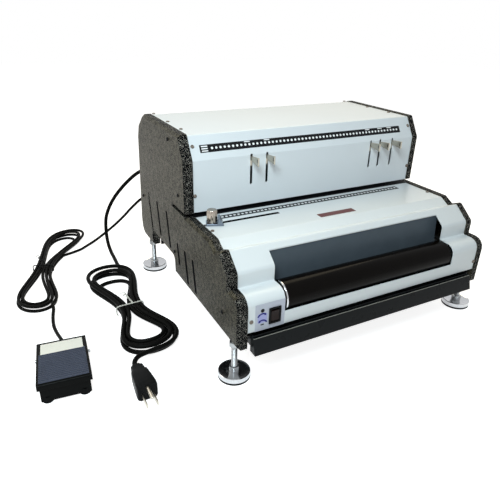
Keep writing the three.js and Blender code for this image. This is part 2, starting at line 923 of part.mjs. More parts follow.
function inserterFrame() {
  const footZ = floorOfMotorsZ;
  const lowX = earLeftX - earThickness;
  const highX = earRightX + earThickness;
  const rearY = inserterWebFrontY + earThickness;
  const web = block(lowX, highX, inserterWebFrontY, rearY, footZ, footZ + inserterWebHeight);
  const flangeY = rearY + inserterFootDepth;
  const flange = block(lowX, highX, inserterWebFrontY, flangeY, footZ, footZ + inserterFoot);
  const ears = [lowX, earRightX].flatMap((x) => {
    const arm = rectangle(rollerY, rearY, rollerZ - earRadius, rollerZ + earRadius);
    return [
      alongX(arm, x, x + earThickness),
      alongX(circle(rollerY, rollerZ, earRadius), x, x + earThickness),
    ];
  });
  const bore = circle(rollerY, rollerZ, rollerShaftRadius + seatGap, smallSides);
  return carved(joined(web, flange, ...ears), alongX(bore, lowX - overrun, highX + overrun));
}

function inserterApron() {
  const corners = [
    [apronFootY, apronFootZ],
    [apronLowY, apronLowZ, apronRadius],
    [apronMidY, apronMidZ],
    [apronTopY, apronTopZ],
  ];
  const outline = sheetOutline(rounded(corners), apronThickness);
  return alongX(outline, earLeftX + seatGap, earRightX - seatGap);
}

function inserterMotor() {
  const outline = circle(inserterMotorY, inserterMotorZ, inserterMotorRadius);
  const bore = circle(inserterMotorY, inserterMotorZ, inserterMotorShaftRadius + seatGap, smallSides);
  return carved(
    alongX(outline, inserterMotorLeftX, inserterMotorRightX),
    alongX(bore, inserterMotorRightX - gearboxBoreDepth, inserterMotorRightX + overrun),
  );
}

function inserterPulley() {
  const highX = inserterPulleyX + inserterPulleyWidth;
  const rim = circle(inserterMotorY, inserterMotorZ, inserterPulleyRadius);
  const wheel = alongX(rim, inserterPulleyX, highX);
  const outline = circle(inserterMotorY, inserterMotorZ, inserterMotorShaftRadius, smallSides);
  const shaft = alongX(outline, inserterMotorRightX - gearboxBoreDepth + seatGap, highX - overrun);
  return geometryOf(joined(wheel, shaft));
}

function inserterBelt() {
  const front = { centre: new THREE.Vector2(rollerY, rollerZ), radius: rollerPulleyRadius };
  const rear = { centre: new THREE.Vector2(inserterMotorY, inserterMotorZ), radius: inserterPulleyRadius };
  const edge = (inserterPulleyWidth - beltWidth) / 2;
  return belt(front, rear, inserterPulleyX + edge, inserterPulleyX + inserterPulleyWidth - edge);
}

// Roller switch

function switchBody() {
  const wide = switchHalfWidth;
  const high = switchHalfHeight;
  const bezelRearY = frontY - seatGap;
  const bezelFrontY = bezelRearY - bezelThickness;
  const body = block(
    switchX - wide, switchX + wide,
    bezelFrontY, frontY + switchDepth,
    switchZ - high, switchZ + high,
  );
  const bezel = block(
    switchX - wide - bezelOverlap, switchX + wide + bezelOverlap,
    bezelFrontY, bezelRearY,
    switchZ - high - bezelOverlap, switchZ + high + bezelOverlap,
  );
  const pocketWide = rockerHalfWidth + seatGap;
  const pocketHigh = rockerReach + seatGap;
  const pocketRearY = frontY + rockerPivotInset + rockerBackDepth + bezelThickness;
  const pocket = block(
    switchX - pocketWide, switchX + pocketWide,
    bezelFrontY - overrun, pocketRearY,
    switchZ - pocketHigh, switchZ + pocketHigh,
  );
  return carved(joined(body, bezel), pocket);
}

function rocker() {
  const pivotY = frontY + rockerPivotInset;
  const faceY = pivotY - Math.sqrt(rockerReach ** 2 - rockerHalfHeight ** 2);
  const outline = [
    [faceY, switchZ + rockerHalfHeight],
    [faceY + rockerDish, switchZ],
    [faceY, switchZ - rockerHalfHeight],
    [pivotY + rockerBackDepth, switchZ - rockerBackHalf],
    [pivotY + rockerBackDepth, switchZ + rockerBackHalf],
  ];
  return alongX(rounded(outline, true), switchX - rockerHalfWidth, switchX + rockerHalfWidth);
}

// Chip drawer

function chipDrawer() {
  const wallFrontY = drawerFlangeRearY - drawerWall;
  const lipY = drawerFrontY + drawerFrontLean;
  const tray = block(-drawerHalf, drawerHalf, wallFrontY, drawerRearY, drawerFootZ, drawerTopZ);
  const flangeHalf = drawerHalf + drawerFlange;
  const flange = block(
    -flangeHalf, flangeHalf, railFrontY, drawerRearY, drawerTopZ - drawerWall, drawerTopZ,
  );
  const side = [
    [drawerFrontY, drawerFootZ],
    [drawerFlangeRearY, drawerFootZ],
    [drawerFlangeRearY, drawerLipZ],
    [lipY, drawerLipZ],
  ];
  const face = alongX(rounded(side, true), drawerFrontLeftX, drawerFrontRightX);
  const inside = block(
    -drawerHalf + drawerWall, drawerHalf - drawerWall,
    drawerFlangeRearY, drawerRearY - drawerWall,
    drawerFootZ + drawerWall, drawerTopZ + overrun,
  );
  const channelSide = [
    [drawerFrontY + drawerWall, drawerFootZ + drawerWall],
    [wallFrontY, drawerFootZ + drawerWall],
    [wallFrontY, drawerLipZ + overrun],
    [lipY + drawerWall, drawerLipZ + overrun],
    [lipY + drawerWall, drawerLipZ],
  ];
  const channel = alongX(
    rounded(channelSide, true), drawerFrontLeftX + drawerWall, drawerFrontRightX - drawerWall,
  );
  return carved(joined(tray, flange, face), inside, channel);
}

function drawerRail() {
  const topZ = drawerTopZ - drawerWall - seatGap;
  const highX = -drawerHalf - seatGap;
  return block(highX - railWidth, highX, railFrontY, railRearY, topZ - railThickness, topZ);
}

// Release tab, drawn in the plane of its slot with a wider back that keeps it there
function releaseTab(x) {
  const half = tabThickness / 2;
  const backY = panelY + sheetSteel + seatGap;
  const outline = [
    [backY + tabBackThickness, tabNeckFootZ],
    [panelY - seatGap, tabNeckFootZ],
    [tabHeadY, tabHeadTopZ - tabHeadHeight],
    [tabHeadY, tabHeadTopZ],
    [panelY - seatGap, tabNeckTopZ],
    [backY + tabBackThickness, tabNeckTopZ],
  ];
  const blade = alongX(rounded(outline, true), x - half, x + half);
  const back = block(
    x - tabBackHalf, x + tabBackHalf,
    backY, backY + tabBackThickness,
    tabNeckTopZ - tabBackHeight, tabNeckTopZ,
  );
  return geometryOf(joined(blade, back));
}

// Edge guide

function edgeGuide() {
  const footZ = deckZ + seatGap;
  const baseTop = footZ + guideBaseHeight;
  const outline = [
    [-guideBaseReach, footZ],
    [guideFootReach, footZ],
    [guideTopReach, footZ + guideTopHeight],
    [guideStepReach, footZ + guideTopHeight],
    [guideStepReach, baseTop],
    [-guideBaseReach, baseTop],
  ];
  const body = alongY(rounded(outline, true), -guideHalfDepth, guideHalfDepth);
  body.rotateZ(guideTurn).translate(guideX, guideY, 0);
  const underZ = deckZ - sheetSteel - seatGap;
  const stud = alongZ(circle(guideX, guideY, guideStudRadius, smallSides), underZ - guideWasher, baseTop);
  const washer = circle(guideX, guideY, guideWasherRadius, smallSides);
  return geometryOf(joined(body, stud, alongZ(washer, underZ - guideWasher, underZ)));
}

function guideKnob() {
  const footZ = deckZ + seatGap + guideBaseHeight + seatGap;
  const outline = Array.from({ length: 2 * knobFlutes }, (_, k) => {
    const angle = (k / knobFlutes) * Math.PI;
    const radius = knobRadius - knobFlute * (k % 2);
    return new THREE.Vector2(guideX + radius * Math.cos(angle), guideY + radius * Math.sin(angle));
  });
  return alongZ(outline, footZ, footZ + knobHeight);
}

// Levelling feet

function foot(x, y) {
  const discFootZ = footPad + seatGap;
  return turnedZ([
    [0, discFootZ],
    [footRadius, discFootZ],
    [footRadius, footDiscTopZ],
    [footHubRadius, footConeTopZ],
    [footHubRadius, footHubTopZ],
    [footStudRadius, footHubTopZ],
    [footStudRadius, footStudTopZ],
    [0, footStudTopZ],
  ]).translate(x, y, 0);
}

function rubberPad(x, y) {
  return turnedZ([
    [0, 0],
    [footRadius - footPadChamfer, 0],
    [footRadius, footPadChamfer],
    [footRadius, footPad],
    [0, footPad],
  ]).translate(x, y, 0);
}

// Foot pedal

function pedalBase() {
  const outline = [
    [pedalBaseFrontY, pedalBaseFootZ],
    [pedalBaseRearY, pedalBaseFootZ],
    [pedalBaseRearY, pedalBaseRearZ],
    [pedalBaseFrontY, pedalBaseFrontZ],
  ];
  const body = alongX(rounded(outline, true), -pedalBaseHalf, pedalBaseHalf);
  const feet = [-1, 1].flatMap((side) => [-1, 1].map((end) => {
    const pad = circle(side * pedalFootX, end * pedalFootY, pedalFootRadius, smallSides);
    return alongZ(pad, 0, pedalBaseFootZ + overrun);
  }));
  const relief = alongY(
    circle(0, pedalCordZ, pedalReliefRadius, smallSides),
    pedalBaseRearY - overrun, pedalBaseRearY + pedalReliefLength,
  );
  const pinHole = circle(pedalPinY, pedalPinZ, pedalPinRadius + seatGap, smallSides);
  return carved(
    joined(body, ...feet, relief),
    alongX(pinHole, -pedalBaseHalf - overrun, pedalBaseHalf + overrun),
  );
}

function pedalTreadle() {
  const outline = [
    [-pedalHalfLength, pedalSkirtFrontZ],
    [pedalHalfLength, pedalSkirtRearZ],
    [pedalHalfLength, pedalRearTopZ, pedalBend],
    [-pedalHalfLength, pedalFrontTopZ, pedalBend],
  ];
  const body = alongX(rounded(outline, true), -pedalHalfWidth, pedalHalfWidth);
  const innerFront = -pedalHalfLength + pedalWall;
  const innerRear = pedalHalfLength + overrun;
  const innerHalfWidth = pedalHalfWidth - pedalWall;
  const topFall = (pedalFrontTopZ - pedalRearTopZ) / (2 * pedalHalfLength);
  const innerTop = (y) => pedalRearTopZ + topFall * (pedalHalfLength - y) - pedalWall;
  const hollow = alongX(rounded([
    [innerFront, -overrun],
    [innerRear, -overrun],
    [innerRear, innerTop(innerRear)],
    [innerFront, innerTop(innerFront)],
  ], true), -innerHalfWidth, innerHalfWidth);
  const pinHole = circle(pedalPinY, pedalPinZ, pedalPinRadius + seatGap, smallSides);
  return carved(body, hollow, alongX(pinHole, -pedalHalfWidth - overrun, pedalHalfWidth + overrun));
}

function pedalPin() {
  return alongX(circle(pedalPinY, pedalPinZ, pedalPinRadius, smallSides), -pedalPinHalf, pedalPinHalf);
}

// Cords

function gland(z, cordRadius) {
  const rearY = coverRearY + seatGap;
  const taperY = rearY + glandFlange;
  const profile = [
    [0, coverRearY - glandNeckDepth],
    [glandNeckRadius, coverRearY - glandNeckDepth],
    [glandNeckRadius, rearY],
    [glandFlangeRadius, rearY],
    [glandFlangeRadius, taperY],
    [glandNeckRadius, taperY],
    [cordRadius * glandTipShare, taperY + glandTaper],
    [0, taperY + glandTaper],
  ];
  const points = profile.map(([radius, y]) => new THREE.Vector2(radius, y));
  return new THREE.LatheGeometry(points, roundSides).translate(glandX, 0, z);
}

// Closed tube through rings of points, for the wound cords
function ringTube(path, radius, sides) {
  const positions = [];
  const indices = [];
  const normal = axisZ.clone();
  path.forEach((point, i) => {
    const before = path[Math.max(i - 1, 0)];
    const after = path[Math.min(i + 1, path.length - 1)];
    const tangent = after.clone().sub(before).normalize();
    normal.addScaledVector(tangent, -normal.dot(tangent)).normalize();
    const side = tangent.clone().cross(normal);
    for (let k = 0; k < sides; k += 1) {
      const angle = (k / sides) * 2 * Math.PI;
      const corner = point.clone();
      corner.addScaledVector(normal, radius * Math.cos(angle));
      corner.addScaledVector(side, radius * Math.sin(angle));
      positions.push(corner.x, corner.y, corner.z);
    }
  });
  const ring = (i, k) => i * sides + (k % sides);
  for (let i = 0; i < path.length - 1; i += 1) {
    for (let k = 0; k < sides; k += 1) {
      indices.push(ring(i, k), ring(i + 1, k + 1), ring(i + 1, k));
      indices.push(ring(i, k), ring(i, k + 1), ring(i + 1, k + 1));
    }
  }
  for (let k = 1; k < sides - 1; k += 1) {
    indices.push(ring(0, 0), ring(0, k + 1), ring(0, k));
    indices.push(ring(path.length - 1, 0), ring(path.length - 1, k), ring(path.length - 1, k + 1));
  }
  const geometry = new THREE.BufferGeometry();
  geometry.setAttribute('position', new THREE.Float32BufferAttribute(positions, 3));
  geometry.setIndex(indices);
  geometry.computeVertexNormals();
  return geometry;
}

// One lobe of a hank without its spread: a teardrop from the waist round the fold and back
function lobePoint(share, reach, foldRadius, waistHalf) {
  const swell = Math.sqrt(foldRadius * reach);
  const up = Math.sin(Math.PI * share);
  const across = Math.cos(Math.PI * share);
  return new THREE.Vector2(across * (waistHalf + up * up * swell), up * reach);
}

// Turn 0 passes the waist on its right side, going down. The loops spiral in, climb, and spiral out.
function hankCentre(hank, diameter, turn) {
  const pitch = diameter + hankLooseness;
  const half = hankLoops / 2;
  const waistHalf = waistShare * pitch;
  const widest = (half - climbShare) * pitch + diameter / 2;
  const foldRadius = foldShare * diameter - climbShare * pitch;
  const phase = turn - Math.floor(turn);
  const lower = phase < 0.5;
  const reach = (lower ? hank.lowerReach : hank.upperReach) - widest;
  const side = lower ? 1 : -1;
  const bare = (share) => {
    const point = lobePoint(share, reach, foldRadius, waistHalf);
    const bow = hank.bowShare * point.y * point.y / hank.upperReach;
    return new THREE.Vector2(side * point.x + bow, -side * point.y);
  };
  const even = (lower ? phase : phase - 0.5) * 2;
  const share = even + waistStepShare * Math.sin(2 * Math.PI * even);
  const outward = leftOf(bare(share - probeShare), bare(share + probeShare));
  const local = outward.multiplyScalar(Math.abs(turn - half) * pitch).add(bare(share));
  const climb = THREE.MathUtils.smoothstep(turn, half - climbShare, half + climbShare);
  return new THREE.Vector3(
    hank.waistX + local.y * Math.sin(hank.lean) + local.x * Math.cos(hank.lean),
    hank.waistY + local.y * Math.cos(hank.lean) - local.x * Math.sin(hank.lean),
    diameter / 2 + floorGap + climb * pitch,
  );
}

function beyond(path, from, to, length) {
  return path[to].clone().sub(path[from]).setLength(length).add(path[to]);
}

function hankPath(hank, diameter) {
  const steps = hank.lastStep - hank.firstStep;
  const path = Array.from({ length: steps + 1 }, (_, k) => {
    return hankCentre(hank, diameter, (hank.firstStep + k) / hankLoopSteps);
  });
  return [beyond(path, 1, 0, diameter), ...path, beyond(path, steps - 1, steps, diameter)];
}

// Least clear space between parts of a wound cord that lie more than three diameters apart along it
function leastGap(path, diameter) {
  const points = [];
  const run = [];
  path.slice(1).forEach((end, i) => {
    for (let k = 0; k < gapSamples; k += 1) {
      points.push(path[i].clone().lerp(end, k / gapSamples));
      run.push(run.length === 0 ? 0 : run.at(-1) + points.at(-1).distanceTo(points.at(-2)));
    }
  });
  let least = Infinity;
  points.forEach((point, i) => {
    for (let j = i + 1; j < points.length; j += 1) {
      if (run[j] - run[i] > foldShare * diameter) {
        least = Math.min(least, point.distanceTo(points[j]) - diameter);
      }
    }
  });
  return least;
}

function freeTube(points, diameter) {
  const path = new THREE.CatmullRomCurve3(points);
  const section = new THREE.Shape(circle(0, 0, diameter / 2, tubeSides));
  const steps = Math.round(path.getLength() / (tubeStepShare * diameter));
  return new THREE.ExtrudeGeometry(section, { steps, extrudePath: path, bevelEnabled: false });
}

function routePoints(route) {
  return route.map((place) => new THREE.Vector3(...place));
}

// Two points that start a free stretch square to the face it leaves
function leaving(face, heading, diameter) {
  const start = face.clone().addScaledVector(heading, seatGap);
  return [start, start.clone().addScaledVector(heading, diameter)];
}

function headingOf(path, from, to) {
  return path[to].clone().sub(path[from]).normalize();
}

function plugSection(k) {
  const width = plugWidth * plugWidthShares[k];
  const height = plugHeight * plugHeightShares[k];
  const corner = plugCornerShare * Math.min(width, height);
  const half = { x: width / 2, z: height / 2 };
  const y = plugRearY - plugLength * plugStepShares[k];
  const outline = rectangle(-half.x, half.x, -half.z, half.z, corner);
  return outline.map((point) => new THREE.Vector3(plugX + point.x, y, plugZ + point.y));
}

function loft(sections) {
  const sides = sections[0].length;
  const last = sections.length - 1;
  const positions = sections.flat().flatMap((point) => [point.x, point.y, point.z]);
  const ring = (i, k) => i * sides + (k % sides);
  const indices = [];
  for (let i = 0; i < last; i += 1) {
    for (let k = 0; k < sides; k += 1) {
      indices.push(ring(i, k), ring(i, k + 1), ring(i + 1, k + 1));
      indices.push(ring(i, k), ring(i + 1, k + 1), ring(i + 1, k));
    }
  }
  for (let k = 1; k < sides - 1; k += 1) {
    indices.push(ring(0, 0), ring(0, k + 1), ring(0, k));
    indices.push(ring(last, 0), ring(last, k), ring(last, k + 1));
  }
  const geometry = new THREE.BufferGeometry();
  geometry.setAttribute('position', new THREE.Float32BufferAttribute(positions, 3));
  geometry.setIndex(indices);
  return geometry;
}

function plug() {
  const body = loft(plugStepShares.map((_, k) => plugSection(k)));
  const faceY = plugRearY - plugLength;
  const blades = [-1, 1].map((side) => {
    const x = plugX + side * bladePitch / 2;
    const z = plugZ - bladeDrop;
    return block(
      x - bladeThickness / 2, x + bladeThickness / 2,
      faceY - bladeLength, faceY + pinRoot,
      z - bladeWidth / 2, z + bladeWidth / 2,
    );
  });
  const pin = circle(plugX, plugZ + earthPinRise, earthPinRadius, smallSides);
  return geometryOf(joined(body, ...blades, alongY(pin, faceY - earthPinLength, faceY + pinRoot)));
}

// The assembly

add('side_plate_left', leftPlate(), 'hammered');
add('side_plate_right', mirroredX(leftPlate()), 'hammered');
add('upper_cover', upperCover(), 'shell');
add('lower_cover', lowerCover(), 'deckShell');
add('base_plate', basePlateSolid(), 'bareSteel');
add('rear_panel', rearPanel(), 'blackSteel');
add('rear_crossbar', rearCrossbar(), 'blackSteel');

add('die_block', dieBlock(), 'blackSteel');
add('punch_guide', punchGuide(), 'toolSteel');
add('paper_stop', block(
  -coverHalf, coverHalf, stopFrontY, dieRearY, deckZ + seatGap, guideFootZ - seatGap,
), 'bareSteel');
add('punch_bar', punchBar(), 'toolSteel');
add('carriage_guide_left', carriageGuide(), 'bareSteel');
add('carriage_guide_right', mirroredX(carriageGuide()), 'bareSteel');
add('bearing_left', bearing(), 'bareSteel');
add('bearing_right', mirroredX(bearing()), 'bareSteel');
add('camshaft', camshaft(), 'toolSteel');
add('gear_motor', gearMotor(), 'motorPaint');
add('drive_pulley', drivePulley(), 'bareSteel');
add('drive_belt', driveBelt(), 'rubber');

add('inserter_roller', roller(), 'roller');
add('inserter_frame', inserterFrame(), 'bareSteel');
add('inserter_apron', inserterApron(), 'apron');
add('inserter_motor', inserterMotor(), 'motorPaint');
add('inserter_motor_pulley', inserterPulley(), 'bareSteel');
add('inserter_belt', inserterBelt(), 'rubber');
add('switch_body', switchBody(), 'blackPlastic');
add('switch_rocker', rocker(), 'blackPlastic');

add('chip_drawer', chipDrawer(), 'blackSteel');
add('drawer_rail_left', drawerRail(), 'bareSteel');
add('drawer_rail_right', mirroredX(drawerRail()), 'bareSteel');
tabHoles.forEach((number, k) => {
  add(`release_tab_${k + 1}`, releaseTab(holeX(number)), 'nickel');
});
add('edge_guide', edgeGuide(), 'nickel');
add('edge_guide_knob', guideKnob(), 'chrome');

[['front', footFrontY], ['rear', footRearY]].forEach(([end, y]) => {
  [['left', -footX], ['right', footX]].forEach(([side, x]) => {
    add(`foot_${end}_${side}`, foot(x, y), 'chrome');
    add(`foot_pad_${end}_${side}`, rubberPad(x, y), 'rubber');
  });
});

add('pedal_base', pedalBase(), 'pedalPaint', pedal);
add('pedal_treadle', pedalTreadle(), 'pedalPaint', pedal);
add('pedal_pin', pedalPin(), 'bareSteel', pedal);

// The origin is on the floor under the middle of the machine and its pedal

machine.updateMatrixWorld(true);
const extent = new THREE.Box3().setFromObject(machine, true);
const middle = extent.getCenter(new THREE.Vector3());
const pedalExit = new THREE.Vector3(0, pedalBaseRearY + pedalReliefLength, pedalCordZ);
pedalExit.applyMatrix4(pedal.matrixWorld);
const pedalHeading = axisY.clone().transformDirection(pedal.matrixWorld);

// Cords

const glandFaceY = coverRearY + seatGap + glandFlange + glandTaper;

function addLead(name, lead, glandZ, finish) {
  const { diameter, hank, route, tailRoute, face, heading } = lead;
  const path = hankPath(hank, diameter);
  const last = path.length - 1;
  const exit = leaving(new THREE.Vector3(glandX, glandFaceY, glandZ), axisY, diameter);
  const entry = leaving(path[0], headingOf(path, 1, 0), diameter).reverse();
  const tailStart = leaving(path[last], headingOf(path, last - 1, last), diameter);
  const tailEnd = leaving(face, heading, diameter).reverse();
  add(`${name}_cord`, freeTube([...exit, ...routePoints(route), ...entry], diameter), finish);
  add(`${name}_hank`, ringTube(path, diameter / 2, hankSides), finish);
  add(`${name}_tail`, freeTube([...tailStart, ...routePoints(tailRoute), ...tailEnd], diameter), finish);
  console.log(`${name}_hank least gap ${leastGap(path, diameter).toFixed(2)} mm`);
}

add('plug_gland', gland(plugGlandZ, plugCordDiameter / 2), 'blackPlastic');
add('pedal_gland', gland(pedalGlandZ, pedalCordDiameter / 2), 'blackPlastic');
addLead('plug', {
  diameter: plugCordDiameter,
  hank: plugHank,
  route: plugCordRoute,
  tailRoute: plugTailRoute,
  face: new THREE.Vector3(plugX, plugRearY, plugZ),
  heading: axisY,
}, plugGlandZ, 'cord');
addLead('pedal', {
  diameter: pedalCordDiameter,
  hank: pedalHank,
  route: pedalCordRoute,
  tailRoute: pedalTailRoute,
  face: pedalExit,
  heading: pedalHeading,
}, pedalGlandZ, 'cord');
add('plug', plug(), 'blackPlastic');

machine.position.set(-middle.x, -middle.y, 0);

export default machine;
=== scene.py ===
"""An electric coil binding machine with its pedal and mains lead, dressed around its solids."""

import math

import bmesh
import bpy
from bpy.props import FloatProperty, FloatVectorProperty, IntProperty, PointerProperty
from mathutils import Matrix, Vector


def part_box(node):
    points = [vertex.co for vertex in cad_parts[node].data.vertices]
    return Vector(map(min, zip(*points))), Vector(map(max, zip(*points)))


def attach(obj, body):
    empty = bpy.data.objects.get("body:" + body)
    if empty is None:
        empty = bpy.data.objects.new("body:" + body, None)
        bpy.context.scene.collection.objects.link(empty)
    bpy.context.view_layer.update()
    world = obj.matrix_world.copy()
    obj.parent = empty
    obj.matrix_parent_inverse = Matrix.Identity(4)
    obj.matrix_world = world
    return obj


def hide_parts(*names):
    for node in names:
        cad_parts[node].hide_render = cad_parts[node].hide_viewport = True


bl_info = {
    "name": "Coil Binding Machine",
    "version": (1, 0, 0),
    "blender": (4, 5, 0),
    "location": "View3D > Sidebar > Binder",
    "description": "Finishes a coil binding machine, its foot pedal and its leads",
    "category": "Add Mesh",
}

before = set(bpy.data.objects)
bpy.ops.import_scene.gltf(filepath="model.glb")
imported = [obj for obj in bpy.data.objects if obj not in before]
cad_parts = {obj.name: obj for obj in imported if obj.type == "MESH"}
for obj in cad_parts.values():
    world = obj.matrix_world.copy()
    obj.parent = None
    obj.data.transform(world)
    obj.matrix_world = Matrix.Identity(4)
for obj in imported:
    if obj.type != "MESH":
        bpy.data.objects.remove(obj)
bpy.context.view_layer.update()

MM = 0.001
MACHINE = "machine"
TABS = [f"release_tab_{number}" for number in range(1, 6)]
FEET = [f"foot_{end}_{side}" for end in ("front", "rear") for side in ("left", "right")]

# The machine's own axes: the middle of its side plates, the row of punches, the floor
LEFT_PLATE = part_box("side_plate_left")
RIGHT_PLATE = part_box("side_plate_right")
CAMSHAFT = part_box("camshaft")
MIDDLE_X = (LEFT_PLATE[0].x + RIGHT_PLATE[1].x) / 2
PUNCH_Y = (CAMSHAFT[0].y + CAMSHAFT[1].y) / 2

# Hole pattern
HOLE_PITCH = 6.2865 * MM
HOLE_COUNT = 53
HOLE_SHIFT = 0.7 * MM

# Front of the upper cover
PANEL_Y = -45.8 * MM
FACET_FOOT_Z = 241.7 * MM
FACET_TOP_Y = -27.4 * MM
COVER_TOP_Z = 272 * MM
DECK_Z = 163.8 * MM
FRONT_Y = -210 * MM

# Pedal: the turn of its axes, and its pin from its middle
PEDAL_TURN = math.radians(-5.5)
PEDAL_PIN_Y = 21 * MM
PEDAL_HALF_LENGTH = 51.5 * MM
PEDAL_FRONT_Z = 30 * MM
PEDAL_REAR_Z = 17 * MM

# Camera, as the photograph was taken
CAMERA_PLACE = (-419.5 * MM, -625.9 * MM, 416.6 * MM)
CAMERA_AZIMUTH = math.radians(-28.33)
CAMERA_ELEVATION = math.radians(25.65)
CAMERA_ROLL = math.radians(1.59)
CAMERA_LENS = 34.776
CAMERA_SHIFT = (0.0022, -0.006)

# Leads: the free stretches repeat the routes of the solids, in metres from the machine's axes
GLAND_X = -0.165
GLAND_FACE_Y = 0.1903
PLUG_GLAND_Z = 0.160
PEDAL_GLAND_Z = 0.115
PLUG_ROUTE = [
    (-0.170, 0.216, 0.1575),
    (-0.188, 0.238, 0.149),
    (-0.213, 0.252, 0.1255),
    (-0.240, 0.256, 0.094),
    (-0.255, 0.257, 0.063),
    (-0.259, 0.254, 0.034),
    (-0.260, 0.243, 0.0135),
    (-0.260, 0.224, 0.0043),
    (-0.2605, 0.200, 0.00335),
]
PLUG_TAIL_ROUTE = [
    (-0.3040, -0.1155, 0.0115),
]
PLUG_FACE = (-0.312, -0.134, 0.0123)
PEDAL_ROUTE = [
    (-0.172, 0.213, 0.1105),
    (-0.190, 0.228, 0.100),
    (-0.207, 0.246, 0.078),
    (-0.220, 0.266, 0.054),
    (-0.236, 0.282, 0.032),
    (-0.256, 0.289, 0.0145),
    (-0.276, 0.285, 0.0046),
    (-0.293, 0.273, 0.0026),
    (-0.309, 0.259, 0.0026),
    (-0.326, 0.251, 0.0026),
]
PEDAL_TAIL_ROUTE = [
    (-0.385, 0.062, 0.0066),
    (-0.389, 0.040, 0.0036),
    (-0.391, 0.018, 0.0028),
    (-0.390, -0.002, 0.0036),
]
PEDAL_RELIEF_Y = 56 * MM
PEDAL_RELIEF_Z = 8 * MM
LEAD_SPACING = 4 * MM

# How hanks are wound. Shares are of the lead's diameter, of a loop's pitch or of a loop
HANK_LOOPS = 4
HANK_LOOP_STEPS = 24
HANK_LOOSENESS = 0.95 * MM
HANK_FINENESS = 4
FLOOR_GAP = 0.1 * MM
FOLD_SHARE = 3.4
LOBE_SHARE = 0.385
CLIMB_SHARE = 0.25
WAIST_SHARE = 0.25
WAIST_STEP_SHARE = 0.06
PROBE_SHARE = 0.001

# The tightest bend in diameters, and how tighter ones are opened
TIGHTEST_SHARE = 3.1
EASING_ROUNDS = 160
EASING_REACH = 3
STRAIGHT_AREA = 1e-12

# Each hank: its waist, its axis' lean, its lobes' reach and bow, how much less its inner
# lobes reach, and the steps of its winding at which it starts and ends
PLUG_HANK = {
    "waist": (-0.281, 0.008),
    "lean": math.radians(-3),
    "upper": 0.149,
    "lower": 0.116,
    "bow": 0.0,
    "short": (0.3, 0.2, 0.14, 0.08),
    "steps": (-4, 102),
}
PEDAL_HANK = {
    "waist": (-0.383, 0.200),
    "lean": math.radians(18.5),
    "upper": 0.165,
    "lower": 0.137,
    "bow": 0.17,
    "short": (0.14, 0.1, 0.05, 0.03),
    "steps": (-1, 100),
}

# Meshes, and the thickness of printed films
WELD = 0.01 * MM
FLAT_ANGLE = math.radians(0.5)
SHARP_ANGLE = math.radians(35)
ROUND_STEPS = 64
CORNER_STEPS = 6
FLAT_FACE_WEIGHT = 80
PRINT = 0.12 * MM

# How far a side plate's faces look sideways, and its upper chamfers sideways and up. These keep the
# face enamel; every other edge takes the darker edge enamel as painted shade
FACE_ACROSS = 0.9
CHAMFER_ACROSS = 0.5
CHAMFER_UP = 0.6


# Colours and sizes that a user would change

def linear(code):
    """Linear red, green and blue of an sRGB hex code."""
    shares = [int(code[place:place + 2], 16) / 255 for place in (1, 3, 5)]
    return [c / 12.92 if c <= 0.04045 else ((c + 0.055) / 1.055) ** 2.4 for c in shares]


def colour(name, description, code):
    return FloatVectorProperty(
        name=name, description=description, subtype="COLOR", size=3, min=0.0, max=1.0,
        default=linear(code),
    )


def distance(name, description, default):
    return FloatProperty(
        name=name, description=description, default=default, min=0.0,
        subtype="DISTANCE", unit="LENGTH", precision=5,
    )


class BinderColours(bpy.types.PropertyGroup):
    """Colours of the machine's finishes."""
    plate_face: colour("Plate film", "Hammertone film on the plates' faces", "#1E1C16")
    plate_flake: colour("Plate flakes", "Hammertone flakes on the plates' faces", "#545044")
    # The edge film and flakes are a darker copy of the faces' hammertone: painted shade on the
    # plates' edges, with brighter flakes as painted glints
    edge_film: colour("Edge film", "Hammertone film on the plates' edges", "#050607")
    edge_flake: colour("Edge flakes", "Hammertone flakes on the plates' edges", "#B4B1A8")
    upper_cover: colour("Upper cover", "Powder coat of the upper cover", "#DCE2E6")
    lower_cover: colour("Lower cover", "Powder coat of the lower cover", "#DBE0E2")
    drawer: colour("Drawer", "Enamel of the chip drawer", "#141617")
    apron: colour("Apron", "Enamel of the sheet behind the roller", "#4C555D")
    roller: colour("Roller", "Sleeve of the coil roller", "#080605")
    pedal: colour("Pedal", "Enamel of the pedal", "#0B0C0C")
    treadle_pad: colour("Treadle pad", "Ribbed rubber on the treadle", "#3B404E")
    cord: colour("Cords", "Flexible jacket of the leads", "#0C0C0B")
    plastic: colour("Moulded black", "Plug, glands and switch", "#101112")
    rocker: colour("Rocker", "Rocker of the roller switch", "#1E1311")
    label: colour("Label", "Printed plate round the roller switch", "#BDC0CC")
    arrow: colour("Arrows", "Printed turning arrows", "#2C2A78")


class BinderSizes(bpy.types.PropertyGroup):
    """Sizes of the details that the finishing adds."""
    edge: distance("Edge", "Rounding of the sheet edges", 0.4 * MM)
    plate_edge: distance("Plate edge", "Rounding of the side plates' edges", 0.8 * MM)
    flake: distance("Flake", "Spacing of the droplets in the hammertone enamel", 2.3 * MM)
    peel: distance("Peel", "Spacing of the ripples in the powder coat", 1.6 * MM)
    screw_head: distance("Screw head", "Diameter of the cover screws' heads", 5.2 * MM)
    thread_pitch: distance("Thread pitch", "Pitch of the levelling feet's studs", 1.25 * MM)
    mark: distance("Hole mark", "Diameter of the marks above the throat", 3.4 * MM)
    square: distance("Scale square", "Side of the squares on the deck scale", 3.5 * MM)
    mains_cord: distance("Mains cord", "Diameter of the mains lead", 6.5 * MM)
    pedal_cord: distance("Pedal cord", "Diameter of the pedal's lead", 5 * MM)
    pad_ribs: IntProperty(
        name="Pad ribs", description="Ribs across the treadle's pad", default=16, min=2,
    )


def colours():
    return bpy.context.scene.binder_colours


def sizes():
    return bpy.context.scene.binder_sizes


# Places

def spot(x, y, z):
    """A place measured from the machine's own axes."""
    return Vector((MIDDLE_X + x, PUNCH_Y + y, z))


def centre(node):
    low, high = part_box(node)
    return (low + high) / 2


